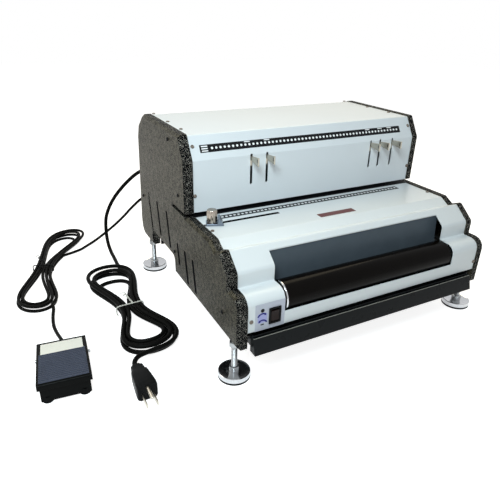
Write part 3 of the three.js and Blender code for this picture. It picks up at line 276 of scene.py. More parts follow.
def placed(origin, across, up):
    """Axes at a place: X across, Y up along a surface and Z out of it."""
    x, y = Vector(across).normalized(), Vector(up).normalized()
    turn = Matrix((x, y, x.cross(y))).transposed()
    return Matrix.Translation(origin) @ turn.to_4x4()


def facet_axes(x):
    """Axes on the sloping facet above the throat, from its lower bend."""
    up = (0, FACET_TOP_Y - PANEL_Y, COVER_TOP_Z - FACET_FOOT_Z)
    return placed(spot(x, PANEL_Y, FACET_FOOT_Z), (1, 0, 0), up)


def deck_axes(x, y):
    return placed(spot(x, y, DECK_Z), (1, 0, 0), (0, 1, 0))


def front_axes(x, z, lift=0.0):
    return placed(spot(x, FRONT_Y - lift, z), (1, 0, 0), (0, 0, 1))


def pedal_axes(y=0.0, z=0.0):
    """Axes of the pedal, from the floor under its middle."""
    turn = Matrix.Rotation(PEDAL_TURN, 4, "Z")
    pin = centre("pedal_pin")
    middle = Vector((pin.x, pin.y, 0)) - turn @ Vector((0, PEDAL_PIN_Y, 0))
    return Matrix.Translation(middle) @ turn @ Matrix.Translation((0, y, z))


def treadle_axes():
    """Axes on the treadle's sloping top, at its middle."""
    fall = math.atan((PEDAL_FRONT_Z - PEDAL_REAR_Z) / (2 * PEDAL_HALF_LENGTH))
    top = (PEDAL_FRONT_Z + PEDAL_REAR_Z) / 2
    return pedal_axes(z=top) @ Matrix.Rotation(-fall, 4, "X")


# Nodes of materials and of patterns

def add(tree, kind, inputs=None, **settings):
    """Add a node with its settings; an input given as a socket is linked to it."""
    node = tree.nodes.new(kind)
    for name, value in settings.items():
        setattr(node, name, value)
    for name, value in (inputs or {}).items():
        if isinstance(value, bpy.types.NodeSocket):
            tree.links.new(value, node.inputs[name])
        else:
            node.inputs[name].default_value = value
    return node


def opened(name):
    """A new material's tree, with the socket of its object coordinates."""
    material = bpy.data.materials.new(name)
    material.use_nodes = True
    material.node_tree.nodes.clear()
    place = add(material.node_tree, "ShaderNodeTexCoord").outputs["Object"]
    return material, material.node_tree, place


def closed(material, inputs, height, depth):
    """Give a material its shader, bumped by a height."""
    tree = material.node_tree
    bump = add(tree, "ShaderNodeBump", {"Height": height, "Distance": depth})
    shader = add(tree, "ShaderNodeBsdfPrincipled", {**inputs, "Normal": bump.outputs["Normal"]})
    add(tree, "ShaderNodeOutputMaterial", {"Surface": shader.outputs["BSDF"]})
    return material


def rgba(value):
    return (*value, 1.0)


def shaded(value, share):
    """A colour made lighter or darker by a share."""
    return tuple(min(1.0, channel * share) for channel in value)


# Finishes

def tinted(value):
    """A linear colour from a hex code or from the name of one of the panel's colours."""
    return linear(value) if value.startswith("#") else getattr(colours(), value)


def varied(material, base, patches, tones, gloss, relief, depth, shader, window=(0.0, 1.0)):
    """Close a material whose patches vary its tone and gloss over the bump of a relief."""
    tree = material.node_tree
    dark, light = (rgba(shaded(tinted(base), share)) for share in tones)
    tone = add(tree, "ShaderNodeMix", {0: patches, 6: dark, 7: light}, data_type="RGBA")
    if isinstance(gloss, tuple):
        gloss = add(tree, "ShaderNodeMapRange", {
            "Value": patches, "From Min": window[0], "From Max": window[1],
            "To Min": gloss[0], "To Max": gloss[1],
        }).outputs["Result"]
    inputs = {"Base Color": tone.outputs[2], "Roughness": gloss, **shader}
    return closed(material, inputs, relief, depth)


def hammertone(name, film, flake, cover, glint, roughness=0.32):
    # Hammertone enamel, sprayed: dark pools of film ringed by bright leafing flakes,
    # drawn a little coarser than real so that the rings show
    material, tree, place = opened(name)
    spacing = sizes().flake
    rings = add(tree, "ShaderNodeTexVoronoi", {"Vector": place, "Scale": 1 / spacing},
                feature="DISTANCE_TO_EDGE")
    clouds = add(tree, "ShaderNodeTexNoise",
                 {"Vector": place, "Scale": 1 / (2 * spacing), "Detail": 3.0})
    reach = add(tree, "ShaderNodeMapRange",
                {"Value": clouds.outputs["Fac"], "From Min": 0.35, "From Max": 0.7,
                 "To Min": 0.1 * cover, "To Max": cover})
    leaf = add(tree, "ShaderNodeMath",
               {0: rings.outputs["Distance"], 1: reach.outputs["Result"]}, operation="LESS_THAN")
    base = add(tree, "ShaderNodeMix",
               {0: leaf.outputs["Value"], 6: rgba(tinted(film)), 7: rgba(tinted(flake))},
               data_type="RGBA")
    metal = add(tree, "ShaderNodeMath", {0: leaf.outputs["Value"], 1: glint},
                operation="MULTIPLY")
    return closed(material, {
        "Base Color": base.outputs[2],
        "Metallic": metal.outputs["Value"],
        "Roughness": roughness,
        "Specular IOR Level": 0.03,
    }, rings.outputs["Distance"], 0.3 * MM)


def powder_coat(name, base, roughness=0.42):
    # Powder coat, baked on: an even satin film with a faint orange peel
    material, tree, place = opened(name)
    peel = add(tree, "ShaderNodeTexNoise",
               {"Vector": place, "Scale": 1 / sizes().peel, "Detail": 2.0})
    cast = add(tree, "ShaderNodeTexNoise",
               {"Vector": place, "Scale": 1 / (90 * MM), "Detail": 2.0})
    return varied(material, base, cast.outputs["Fac"], (0.97, 1.03),
                  (roughness - 0.05, roughness + 0.05), peel.outputs["Fac"], 0.03 * MM,
                  {"Coat Weight": 0.15, "Coat Roughness": 0.2})


def enamel(name, base, roughness, shine):
    # Stoved enamel, sprayed on sheet: dark and glossy, with dust and rubbed patches
    material, tree, place = opened(name)
    rub = add(tree, "ShaderNodeTexNoise",
              {"Vector": place, "Scale": 1 / (25 * MM), "Detail": 5.0, "Roughness": 0.6})
    grain = add(tree, "ShaderNodeTexNoise",
                {"Vector": place, "Scale": 1 / (1.1 * MM), "Detail": 2.0})
    return varied(material, base, rub.outputs["Fac"], (0.85, 1.2),
                  (roughness - 0.08, roughness + 0.1), grain.outputs["Fac"], 0.03 * MM,
                  {"Specular IOR Level": shine}, (0.3, 0.7))


def plated(name, base, roughness, streak, along):
    # Plated steel: bright metal with fine streaks from polishing or drawing
    material, tree, place = opened(name)
    stretch = [1 / streak] * 3
    stretch["XYZ".index(along)] = 1 / (40 * streak)
    lay = add(tree, "ShaderNodeMapping", {"Vector": place, "Scale": stretch})
    streaks = add(tree, "ShaderNodeTexNoise",
                  {"Vector": lay.outputs["Vector"], "Scale": 1.0, "Detail": 3.0})
    return varied(material, base, streaks.outputs["Fac"], (0.86, 1.12),
                  (roughness * 0.7, roughness * 1.3), streaks.outputs["Fac"], 0.01 * MM,
                  {"Metallic": 1.0})


def moulded(name, base, roughness, shine, grain=0.8 * MM, depth=0.04 * MM):
    # Moulded plastic or rubber: even colour with the fine grain of its mould
    material, tree, place = opened(name)
    pores = add(tree, "ShaderNodeTexNoise", {"Vector": place, "Scale": 1 / grain, "Detail": 4.0})
    wear = add(tree, "ShaderNodeTexNoise",
               {"Vector": place, "Scale": 1 / (18 * MM), "Detail": 3.0})
    return varied(material, base, wear.outputs["Fac"], (0.85, 1.25),
                  (roughness - 0.08, roughness + 0.08), pores.outputs["Fac"], depth,
                  {"Specular IOR Level": shine})


def ground_rubber(name, base):
    # Hard rubber sleeve, ground and polished: deep brown-black with faint turning rings
    material, tree, place = opened(name)
    rings = add(tree, "ShaderNodeTexWave",
                {"Vector": place, "Scale": 1 / (22 * MM), "Distortion": 1.5, "Detail": 2.0},
                bands_direction="X")
    smears = add(tree, "ShaderNodeTexNoise",
                 {"Vector": place, "Scale": 1 / (14 * MM), "Detail": 4.0})
    return varied(material, base, smears.outputs["Fac"], (0.7, 1.5), (0.14, 0.24),
                  rings.outputs["Fac"], 0.01 * MM, {"Specular IOR Level": 0.05})


def printed(name, base, shine=0.3, roughness=0.4):
    # Screen-printed film: flat ink with a fine mottle
    material, tree, place = opened(name)
    mottle = add(tree, "ShaderNodeTexNoise",
                 {"Vector": place, "Scale": 1 / (3 * MM), "Detail": 3.0})
    return varied(material, base, mottle.outputs["Fac"], (0.93, 1.05), roughness,
                  mottle.outputs["Fac"], 0.01 * MM, {"Specular IOR Level": shine})


FINISHES = {
    "plate_face_enamel": (hammertone, "plate_face", "plate_flake", 0.24, 0.2),
    # A darker copy of the plate enamel with brighter flakes: painted shade and painted glints on
    # the plates' edges
    "plate_edge_enamel": (hammertone, "edge_film", "edge_flake", 0.027, 0.45, 0.5),
    "upper_cover_coat": (powder_coat, "upper_cover"),
    "lower_cover_coat": (powder_coat, "lower_cover", 0.36),
    "drawer_enamel": (enamel, "drawer", 0.3, 0.08),
    "frame_enamel": (enamel, "#121316", 0.4, 0.06),
    # A light enamel for the painted highlight along the drawer's lip
    "rubbed_edge": (enamel, "#7C7A72", 0.35, 0.3),
    "motor_enamel": (enamel, "#3C4046", 0.45, 0.3),
    "apron_enamel": (enamel, "apron", 0.4, 0.12),
    "pedal_enamel": (enamel, "pedal", 0.34, 0.04),
    "polished_chrome": (plated, "#BEC0C3", 0.12, 3 * MM, "Z"),
    "dull_nickel": (plated, "#B9B4A8", 0.3, 0.8 * MM, "Y"),
    "zinc_plate": (plated, "#A6A9AB", 0.35, 1.5 * MM, "X"),
    "dark_plate": (plated, "#6E6760", 0.4, 1.2 * MM, "X"),
    "knob_plate": (plated, "#A59C92", 0.2, 2.2 * MM, "Z"),
    "guide_plate": (plated, "#7F8996", 0.24, 1.6 * MM, "Z"),
    "ground_steel": (plated, "#8B8E92", 0.32, 1.2 * MM, "X"),
    "roller_sleeve": (ground_rubber, "roller"),
    "flexible_jacket": (moulded, "cord", 0.42, 0.03, 1.2 * MM, 0.03 * MM),
    "moulded_black": (moulded, "plastic", 0.4, 0.05),
    "rocker_plastic": (moulded, "rocker", 0.25, 0.1),
    "foot_rubber": (moulded, "#131313", 0.7, 0.1),
    "treadle_rubber": (moulded, "treadle_pad", 0.4, 0.25),
    "tie_paper": (moulded, "#D9D6CC", 0.5, 0.3),
    "bare_label": (printed, "#EFEEE4", 0.3, 0.35),
    "black_print": (printed, "#141518", 0.12),
    "white_print": (printed, "#F2F4F4"),
    "red_print": (printed, "#5E2A2A"),
    "label_print": (printed, "label"),
    "arrow_print": (printed, "arrow", 0.1),
    "patch_print": (printed, "#A6A8D6"),
}


def finish(name):
    """A finish by its name, made when it is first asked for."""
    maker, *values = FINISHES[name]
    return bpy.data.materials.get(name) or maker(name, *values)


# Meshes

def linked(name, data, material=None):
    piece = bpy.data.objects.new(name, data)
    bpy.context.scene.collection.objects.link(piece)
    if material:
        data.materials.clear()
        data.materials.append(finish(material))
    return piece


def rides(piece, body, nodes=()):
    """Let a piece move with a body, in place of the solids it stands for."""
    if nodes:
        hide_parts(*nodes)
    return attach(piece, body)


def skinned(name, rings, material, looped=False):
    """A closed skin through rings of as many points each, capped unless it is looped."""
    work = bmesh.new()
    made = [[work.verts.new(point) for point in ring] for ring in rings]
    pairs = list(zip(made, made[1:] + made[:1] if looped else made[1:]))
    for low, high in pairs:
        for k in range(len(low)):
            j = (k + 1) % len(low)
            work.faces.new((low[k], low[j], high[j], high[k]))
    if not looped:
        work.faces.new(list(reversed(made[0])))
        work.faces.new(made[-1])
    bmesh.ops.recalc_face_normals(work, faces=work.faces)
    mesh = bpy.data.meshes.new(name)
    work.to_mesh(mesh)
    work.free()
    mesh.shade_smooth()
    mesh.set_sharp_from_angle(angle=SHARP_ANGLE)
    return linked(name, mesh, material)


def softened(node, body, material, edge=None, shaded_edges_material=None):
    """A copy of a solid with welded faces and rounded edges, in its place."""
    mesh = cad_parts[node].data.copy()
    work = bmesh.new()
    work.from_mesh(mesh)
    bmesh.ops.remove_doubles(work, verts=work.verts, dist=WELD)
    bmesh.ops.dissolve_limit(work, angle_limit=FLAT_ANGLE, verts=work.verts, edges=work.edges)
    work.to_mesh(mesh)
    work.free()
    mesh.shade_smooth()
    piece = linked(f"{node}_finished", mesh, material)
    # Faces that look neither sideways nor up a chamfer, and the rounded edges, take a second
    # material; on the side plates this is painted shade
    if shaded_edges_material:
        mesh.materials.append(finish(shaded_edges_material))
        for face in mesh.polygons:
            across, up = abs(face.normal.x), face.normal.z
            chamfer = across > CHAMFER_ACROSS and up > CHAMFER_UP
            face.material_index = 0 if across > FACE_ACROSS or chamfer else 1
    bevel = piece.modifiers.new("Rounded edges", "BEVEL")
    bevel.width = edge or sizes().edge
    bevel.segments = 2
    bevel.limit_method = "ANGLE"
    bevel.angle_limit = SHARP_ANGLE
    bevel.material = 1 if shaded_edges_material else -1
    # Large flat faces set the shading beside a bend
    normals = piece.modifiers.new("Even shading", "WEIGHTED_NORMAL")
    normals.keep_sharp = True
    normals.weight = FLAT_FACE_WEIGHT
    return rides(piece, body, [node])


def box_outline(width, height, radius, steps=CORNER_STEPS):
    """A rounded rectangle about the origin."""
    across, up = width / 2 - radius, height / 2 - radius
    points = []
    for corner, (x, y) in enumerate([(across, -up), (across, up), (-across, up), (-across, -up)]):
        for k in range(steps + 1):
            angle = (corner - 1 + k / steps) * math.pi / 2
            points.append((x + radius * math.cos(angle), y + radius * math.sin(angle)))
    return points


def slab(name, outline, low, high, place, material, edge=0.0):
    """A flat plate of an outline between two heights over a place, its top edge eased."""
    middle = Vector((sum(x for x, y in outline), sum(y for x, y in outline))) / len(outline)

    def ring(height, inset):
        points = []
        for x, y in outline:
            away = Vector((x, y)) - middle
            inner = middle + away * (1 - inset / max(away.length, inset + WELD))
            points.append(place @ Vector((*inner, height)))
        return points

    rings = [ring(low, 0), ring(high - edge, 0)]
    if edge:
        rings.append(ring(high, edge))
    return skinned(name, rings, material)


def framed(name, size, hole, hole_half, place, material):
    """A thin printed plate with a rectangular hole."""
    outer, inner = (
        [(middle[0] + a * half[0], middle[1] + b * half[1])
         for a, b in ((-1, -1), (1, -1), (1, 1), (-1, 1))]
        for middle, half in (((0, 0), (size[0] / 2, size[1] / 2)), (hole, hole_half))
    )
    rings = [
        [place @ Vector((x, y, height)) for x, y in loop]
        for loop, height in ((outer, 0), (outer, PRINT), (inner, PRINT), (inner, 0))
    ]
    return skinned(name, rings, material, looped=True)


def millimetres(pairs):
    return [(first * MM, second * MM) for first, second in pairs]


def turned(name, profile, place, material, steps=ROUND_STEPS, shape=None):
    """A body through radius and height pairs about the Z axis of a place.

    It is round, or a shape works out its radius from the pair and the angle.
    """
    angles = [2 * math.pi * k / steps for k in range(steps)]
    rings = []
    for radius, height in profile:
        ring = []
        for angle in angles:
            reach = shape(radius, height, angle) if shape else radius
            ring.append(place @ Vector((reach * math.cos(angle), reach * math.sin(angle), height)))
        rings.append(ring)
    return skinned(name, rings, material)


def swept(name, path, radius_at, material, sides=12, looped=False):
    """A tube of varying radius along a path."""
    rings = []
    normal = Vector((0, 0, 1))
    count = len(path)
    for k, point in enumerate(path):
        before = path[(k - 1) % count] if looped else path[max(k - 1, 0)]
        after = path[(k + 1) % count] if looped else path[min(k + 1, count - 1)]
        along = (after - before).normalized()
        normal = (normal - along * normal.dot(along)).normalized()
        side = along.cross(normal)
        radius = radius_at(k / (count - 1))
        angles = [2 * math.pi * j / sides for j in range(sides)]
        rings.append([point + radius * (normal * math.cos(a) + side * math.sin(a)) for a in angles])
    return skinned(name, rings, material, looped)


def merge(name, pieces):
    """Join pieces into the first one's mesh, under a name."""
    piece, *others = pieces
    work = bmesh.new()
    work.from_mesh(piece.data)
    for other in others:
        work.from_mesh(other.data)
        bpy.data.objects.remove(other)
    work.to_mesh(piece.data)
    work.free()
    piece.name = name
    return piece


# Patterns made by geometry nodes

def pattern_tree(name, inputs):
    """A new pattern with its named inputs, and its input node."""
    tree = bpy.data.node_groups.new(name, "GeometryNodeTree")
    tree.interface.new_socket("Geometry", in_out="INPUT", socket_type="NodeSocketGeometry")
    for label, kind in inputs.items():
        tree.interface.new_socket(label, in_out="INPUT", socket_type=kind)
    tree.interface.new_socket("Geometry", in_out="OUTPUT", socket_type="NodeSocketGeometry")
    return tree, add(tree, "NodeGroupInput").outputs


def pattern_end(tree, instances, material):
    """Turn a pattern's instances into one mesh of a material."""
    real = add(tree, "GeometryNodeRealizeInstances", {"Geometry": instances})
    painted = add(tree, "GeometryNodeSetMaterial",
                  {"Geometry": real.outputs["Geometry"], "Material": material})
    add(tree, "NodeGroupOutput", {"Geometry": painted.outputs["Geometry"]})
    return tree


def row_tree():
    """Prisms at an even step: marks in a row, or ribs across a pad."""
    tree, given = pattern_tree("Row of prisms", {
        "Count": "NodeSocketInt", "Step": "NodeSocketVector", "Radius": "NodeSocketFloat",
        "Depth": "NodeSocketFloat", "Sides": "NodeSocketInt", "Turn": "NodeSocketVector",
        "Material": "NodeSocketMaterial",
    })
    line = add(tree, "GeometryNodeMeshLine", {"Count": given["Count"], "Offset": given["Step"]})
    prism = add(tree, "GeometryNodeMeshCylinder",
                {"Vertices": given["Sides"], "Radius": given["Radius"], "Depth": given["Depth"]})
    row = add(tree, "GeometryNodeInstanceOnPoints", {
        "Points": line.outputs["Mesh"], "Instance": prism.outputs["Mesh"],
        "Rotation": given["Turn"],
    })
    return pattern_end(tree, row.outputs["Instances"], given["Material"])


def screw_tree():
    """Screws on marked points, each turned to its point's facing."""
    tree, given = pattern_tree("Screws on points", {
        "Screw": "NodeSocketObject", "Scale": "NodeSocketFloat", "Material": "NodeSocketMaterial",
    })
    facing = add(tree, "GeometryNodeInputNamedAttribute", {"Name": "facing"},
                 data_type="FLOAT_VECTOR")
    turn = add(tree, "FunctionNodeAlignRotationToVector",
               {"Vector": facing.outputs["Attribute"]}, axis="Z")
    screw = add(tree, "GeometryNodeObjectInfo", {"Object": given["Screw"]})
    screws = add(tree, "GeometryNodeInstanceOnPoints", {
        "Points": given["Geometry"], "Instance": screw.outputs["Geometry"],
        "Rotation": turn.outputs["Rotation"], "Scale": given["Scale"],
    })
    return pattern_end(tree, screws.outputs["Instances"], given["Material"])


def grown(name, tree, values, place=None, points=None):
    """A pattern worked out from its values and turned into a plain mesh in place."""
    piece = linked(name, points or bpy.data.meshes.new(name))
    pattern = piece.modifiers.new("Pattern", "NODES")
    pattern.node_group = tree
    for item in tree.interface.items_tree:
        if item.in_out == "INPUT" and item.name in values:
            pattern[item.identifier] = values[item.name]
    depsgraph = bpy.context.evaluated_depsgraph_get()
    mesh = bpy.data.meshes.new_from_object(piece.evaluated_get(depsgraph), depsgraph=depsgraph)
    piece.modifiers.clear()
    piece.data = mesh
    if place:
        mesh.transform(place)
    return piece


# Leads

def smooth_line(points, spacing):
    """Points on a smooth curve through the given ones, no further apart than the spacing."""
    whole = [2 * points[0] - points[1], *points, 2 * points[-1] - points[-2]]
    line = []
    for before, start, end, after in zip(whole, whole[1:], whole[2:], whole[3:]):
        knots = [0.0]
        for first, second in ((before, start), (start, end), (end, after)):
            knots.append(knots[-1] + math.sqrt((second - first).length))
        steps = max(1, math.ceil((end - start).length / spacing))
        for k in range(steps):
            t = knots[1] + (knots[2] - knots[1]) * k / steps
            line.append(blended([before, start, end, after], knots, t))
    return [*line, points[-1]]


def blended(points, knots, t):
    """The place at a knot value on the curve through four points."""
    for span in (1, 2):
        points = [
            low.lerp(high, (t - knots[k]) / (knots[k + span] - knots[k]))
            for k, (low, high) in enumerate(zip(points, points[1:]))
        ]
    return points[0].lerp(points[1], (t - knots[1]) / (knots[2] - knots[1]))


def left_of(start, end):
    along = (end - start).normalized()
    return Vector((-along.y, along.x))


def hank_point(hank, diameter, turn):
    """A hank's centre line: loops that spiral in, climb a layer and spiral out again."""
    pitch = diameter + HANK_LOOSENESS
    half = HANK_LOOPS / 2
    widest = (half - CLIMB_SHARE) * pitch + diameter / 2
    fold_radius = FOLD_SHARE * diameter - CLIMB_SHARE * pitch
    phase = turn - math.floor(turn)
    lower = phase < 0.5
    lobe = math.floor(2 * turn) / 2 + 0.25
    inner = 1 - min(abs(lobe - half) / half, 1)
    short = hank["short"][(0 if lobe < half else 2) + lower] * inner
    reach = (hank["lower" if lower else "upper"] - widest) * (1 - short)
    side = 1 if lower else -1
    even = (phase if lower else phase - 0.5) * 2
    share = even + WAIST_STEP_SHARE * math.sin(2 * math.pi * even)

    def bare(at):
        swell = max(math.sqrt(fold_radius * reach), FOLD_SHARE * diameter / LOBE_SHARE)
        up = math.sin(math.pi * at)
        across = math.cos(math.pi * at) * (WAIST_SHARE * pitch + up * up * swell)
        bow = hank["bow"] * (up * reach) ** 2 / hank["upper"]
        return Vector((side * across + bow, -side * up * reach))

    outward = left_of(bare(share - PROBE_SHARE), bare(share + PROBE_SHARE))
    local = outward * abs(turn - half) * pitch + bare(share)
    rise = min(1.0, max(0.0, (turn - half + CLIMB_SHARE) / (2 * CLIMB_SHARE)))
    climb = rise * rise * (3 - 2 * rise)
    cosine, sine = math.cos(hank["lean"]), math.sin(hank["lean"])
    return spot(
        hank["waist"][0] + local.y * sine + local.x * cosine,
        hank["waist"][1] + local.y * cosine - local.x * sine,
        diameter / 2 + FLOOR_GAP + climb * pitch,
    )


def hank_line(hank, diameter):
    """A hank's centre line with a straight point before its first step and after its last."""
    first, last = hank["steps"]
    count = (last - first) * HANK_FINENESS
    line = [
        hank_point(hank, diameter, (first + k / HANK_FINENESS) / HANK_LOOP_STEPS)
        for k in range(count + 1)
    ]
    start = line[0] + (line[0] - line[1]).normalized() * diameter
    end = line[-1] + (line[-1] - line[-2]).normalized() * diameter
    return [start, *line, end]


def bend_radius(before, point, after):
    """The radius of the circle through three points."""
    first, second = point - before, after - point
    area = first.cross(after - before).length
    if area < STRAIGHT_AREA:
        return math.inf
    return first.length * second.length * (after - before).length / (2 * area)


def eased(points, radius):
    """The line with its ends held and every bend tighter than the radius opened."""
    points = list(points)
    inside = range(2 * EASING_REACH, len(points) - 2 * EASING_REACH)
    for _ in range(EASING_ROUNDS):
        tight = [
            k for k in inside
            if bend_radius(points[k - EASING_REACH], points[k], points[k + EASING_REACH]) < radius
        ]
        for k in tight:
            points[k] = points[k].lerp((points[k - 1] + points[k + 1]) / 2, 0.5)
    return points


def run(gland_z, route, hank, tail, end, diameter):
    """A lead's exit, and its line from there through its hank to its end."""
    exit_point = spot(GLAND_X, GLAND_FACE_Y, gland_z)
    points = [
        exit_point, exit_point + Vector((0, diameter, 0)),
        *(spot(*place) for place in route),
        *hank_line(hank, diameter),
        *(spot(*place) for place in tail),
        *end,
    ]
    return exit_point, eased(smooth_line(points, LEAD_SPACING), TIGHTEST_SHARE * diameter)


def lead(name, points, diameter, material):
    """A cord along a line of points, as one round curve."""
    curve = bpy.data.curves.new(name, "CURVE")
    curve.dimensions = "3D"
    curve.bevel_depth = diameter / 2
    curve.bevel_resolution = 5
    curve.use_fill_caps = True
    spline = curve.splines.new("POLY")
    spline.points.add(len(points) - 1)
    for place, point in zip(spline.points, points):
        place.co = (*point, 1)
    spline.use_smooth = True
    return linked(name, curve, material)


TIE_RADIUS = 0.9 * MM
TIE_FOOT = 0.06 * MM
TIE_TAIL_SHIFT = 4 * MM
TIE_TAIL_LEAN = 8.8 * MM
TIE_TAIL_REACH = 19.8 * MM
TIE_TAIL_RISE = 7.7 * MM
TIE_TAIL_SHARE = 0.7
TIE_FLARE = 3
TIE_TWISTS = 2.5
TIE_STEPS = 24


def tie_line(hank, diameter):
    """The closed line of a tie round the cords at a hank's waist."""
    pitch = diameter + HANK_LOOSENESS
    half_width = (HANK_LOOPS / 2 + WAIST_SHARE) * pitch + diameter / 2 + TIE_RADIUS
    height = 2 * pitch + TIE_RADIUS
    cosine, sine = math.cos(hank["lean"]), math.sin(hank["lean"])
    outline = box_outline(2 * half_width, height, diameter / 2 + TIE_RADIUS)
    return [
        spot(hank["waist"][0] + across * cosine, hank["waist"][1] - across * sine,
             max(up + height / 2, TIE_FOOT))
        for across, up in outline
    ]


def tie(name, hank, diameter, material):
    """A twist tie round a hank's waist, with its two twisted ends."""
    line = tie_line(hank, diameter)

    def thin(share):
        return min(TIE_RADIUS, line[round(share * (len(line) - 1))].z)

    pieces = [swept(name, line, thin, material, looped=True)]
    top = max(point.z for point in line)
    for side in (0, math.pi):
        path = []
        for k in range(TIE_STEPS + 1):
            share = k / TIE_STEPS
            angle = side + share * TIE_TWISTS * 2 * math.pi
            spread = TIE_RADIUS * (1 + TIE_FLARE * share ** 4)
            base = spot(
                hank["waist"][0] + TIE_TAIL_SHIFT - TIE_TAIL_LEAN * share,
                hank["waist"][1] + TIE_TAIL_REACH * share,
                top + TIE_RADIUS + TIE_TAIL_RISE * math.sin(share * math.pi / 2),
            )
            path.append(base + spread * Vector((math.cos(angle), 0, math.sin(angle))))
        pieces.append(
            swept(f"{name}_end", path, lambda share: TIE_RADIUS * TIE_TAIL_SHARE, material, 8))
    return rides(merge(name, pieces), MACHINE)


# Stage

FLOOR_HALF = 4.0
FLOOR_LIFT = 0.86
WORLD_LIGHT = 0.2
# Place, target, size, power and colour of each lamp
LAMPS = {
    "rear": ((0.6, 0.6, 1.2), (0.15, 0.0, 0.25), 0.8, 6.2, "#FFEFCA"),
    "key": ((-0.45, -0.56, 0.84), (0.05, -0.05, 0.18), 0.35, 8.2, "#EAFAFF"),
    "side": ((-0.75, 0.35, 0.75), (-0.2, 0.1, 0.2), 0.5, 1.9, "#FFF8EA"),
}


class StageOperator(bpy.types.Operator):
    """Set the pale floor, the soft studio light and the camera."""
    bl_idname = "binder.stage"
    bl_label = "Stage and camera"

    def execute(self, context):
        add_floor()
        add_world(context.scene)
        add_lamps()
        add_camera(context.scene)
        context.scene.view_settings.view_transform = "Standard"
        return {"FINISHED"}


def backdrop_rays(tree):
    """One for the rays that show the backdrop: seen, mirrored or passed through."""
    rays = add(tree, "ShaderNodeLightPath").outputs
    mirrored = add(tree, "ShaderNodeMath", {
        0: rays["Is Glossy Ray"], 1: rays["Is Transmission Ray"]}, operation="MAXIMUM")
    shown = add(tree, "ShaderNodeMath", {
        0: rays["Is Camera Ray"], 1: mirrored.outputs["Value"]}, operation="MAXIMUM")
    return shown.outputs["Value"]


def floor_material():
    # White paper sweep: it shows white to the camera and in reflections, and keeps soft shadows
    material, tree, place = opened("paper_sweep")
    fibre = add(tree, "ShaderNodeTexNoise", {"Vector": place, "Scale": 60.0})
    tone = add(tree, "ShaderNodeMix",
               {0: fibre.outputs["Fac"], 6: rgba(linear("#E4E4E4")), 7: rgba(linear("#E8E8E8"))},
               data_type="RGBA")
    paper = add(tree, "ShaderNodeBsdfDiffuse", {"Color": tone.outputs[2]})
    lift = add(tree, "ShaderNodeMath", {0: backdrop_rays(tree), 1: FLOOR_LIFT},
               operation="MULTIPLY")
    glow = add(tree, "ShaderNodeEmission", {"Strength": lift.outputs["Value"]})
    both = add(tree, "ShaderNodeAddShader", {0: paper.outputs["BSDF"], 1: glow.outputs["Emission"]})
    add(tree, "ShaderNodeOutputMaterial", {"Surface": both.outputs["Shader"]})
    return material


def add_floor():
    corners = [(-FLOOR_HALF, -FLOOR_HALF, 0), (FLOOR_HALF, -FLOOR_HALF, 0),
               (FLOOR_HALF, FLOOR_HALF, 0), (-FLOOR_HALF, FLOOR_HALF, 0)]
    mesh = bpy.data.meshes.new("floor")
    mesh.from_pydata(corners, [], [(0, 1, 2, 3)])
    mesh.materials.append(floor_material())
    linked("floor", mesh)


def add_world(scene):
    world = bpy.data.worlds.new("studio")
    world.use_nodes = True
    tree = world.node_tree
    tree.nodes.clear()
    light = add(tree, "ShaderNodeMapRange",
                {"Value": backdrop_rays(tree), "To Min": WORLD_LIGHT, "To Max": 1.0})
    sky = add(tree, "ShaderNodeBackground",
              {"Color": (1, 1, 1, 1), "Strength": light.outputs["Result"]})
    add(tree, "ShaderNodeOutputWorld", {"Surface": sky.outputs["Background"]})
    scene.world = world


def add_lamps():
    for name, (place, target, size, power, code) in LAMPS.items():
        lamp = bpy.data.lights.new(name, "AREA")
        lamp.size = size
        lamp.energy = power
        lamp.color = linear(code)
        holder = bpy.data.objects.new(name, lamp)
        holder.location = place
        away = Vector(target) - Vector(place)
        holder.rotation_euler = away.to_track_quat("-Z", "Y").to_euler()
        bpy.context.scene.collection.objects.link(holder)


def add_camera(scene):
    camera = bpy.data.cameras.new("camera")
    camera.lens = CAMERA_LENS
    camera.sensor_width = 36.0
    camera.shift_x, camera.shift_y = CAMERA_SHIFT
    camera.clip_start = 0.05
    camera.clip_end = 50.0
    forward = Vector((
        -math.sin(CAMERA_AZIMUTH) * math.cos(CAMERA_ELEVATION),
        math.cos(CAMERA_AZIMUTH) * math.cos(CAMERA_ELEVATION),
        -math.sin(CAMERA_ELEVATION),
    ))
    level = Vector((math.cos(CAMERA_AZIMUTH), math.sin(CAMERA_AZIMUTH), 0))
    right = level * math.cos(CAMERA_ROLL) + level.cross(forward) * math.sin(CAMERA_ROLL)
    up = right.cross(forward)
    holder = bpy.data.objects.new("camera", camera)
    turn = Matrix((right, up, -forward)).transposed().to_4x4()
    holder.matrix_world = Matrix.Translation(spot(*CAMERA_PLACE)) @ turn
    scene.collection.objects.link(holder)
    scene.camera = holder


# Leads' pieces

# Radius and height of the gland's flange, in millimetres, then its tapered boot's cuts:
# how far along each rib and how deep
GLAND_FLANGE = [(6.4, -8), (6.4, 0), (8.6, 0.2), (9, 0.7), (9, 1.6), (8.4, 2), (6.5, 2.1)]
GLAND_RADIUS = 6.5 * MM
GLAND_LENGTH = 24 * MM
GLAND_BOOT = (3.2 * MM, 21.5 * MM)
GLAND_RIBS = 5
GLAND_CUTS = ((0.08, 0), (0.6, 0), (0.68, 1), (0.92, 1))
GLAND_CUT_SHARE = 0.35
GLAND_CUT_DEPTH = 0.4 * MM
GLAND_TIP_SHARE = 1.3


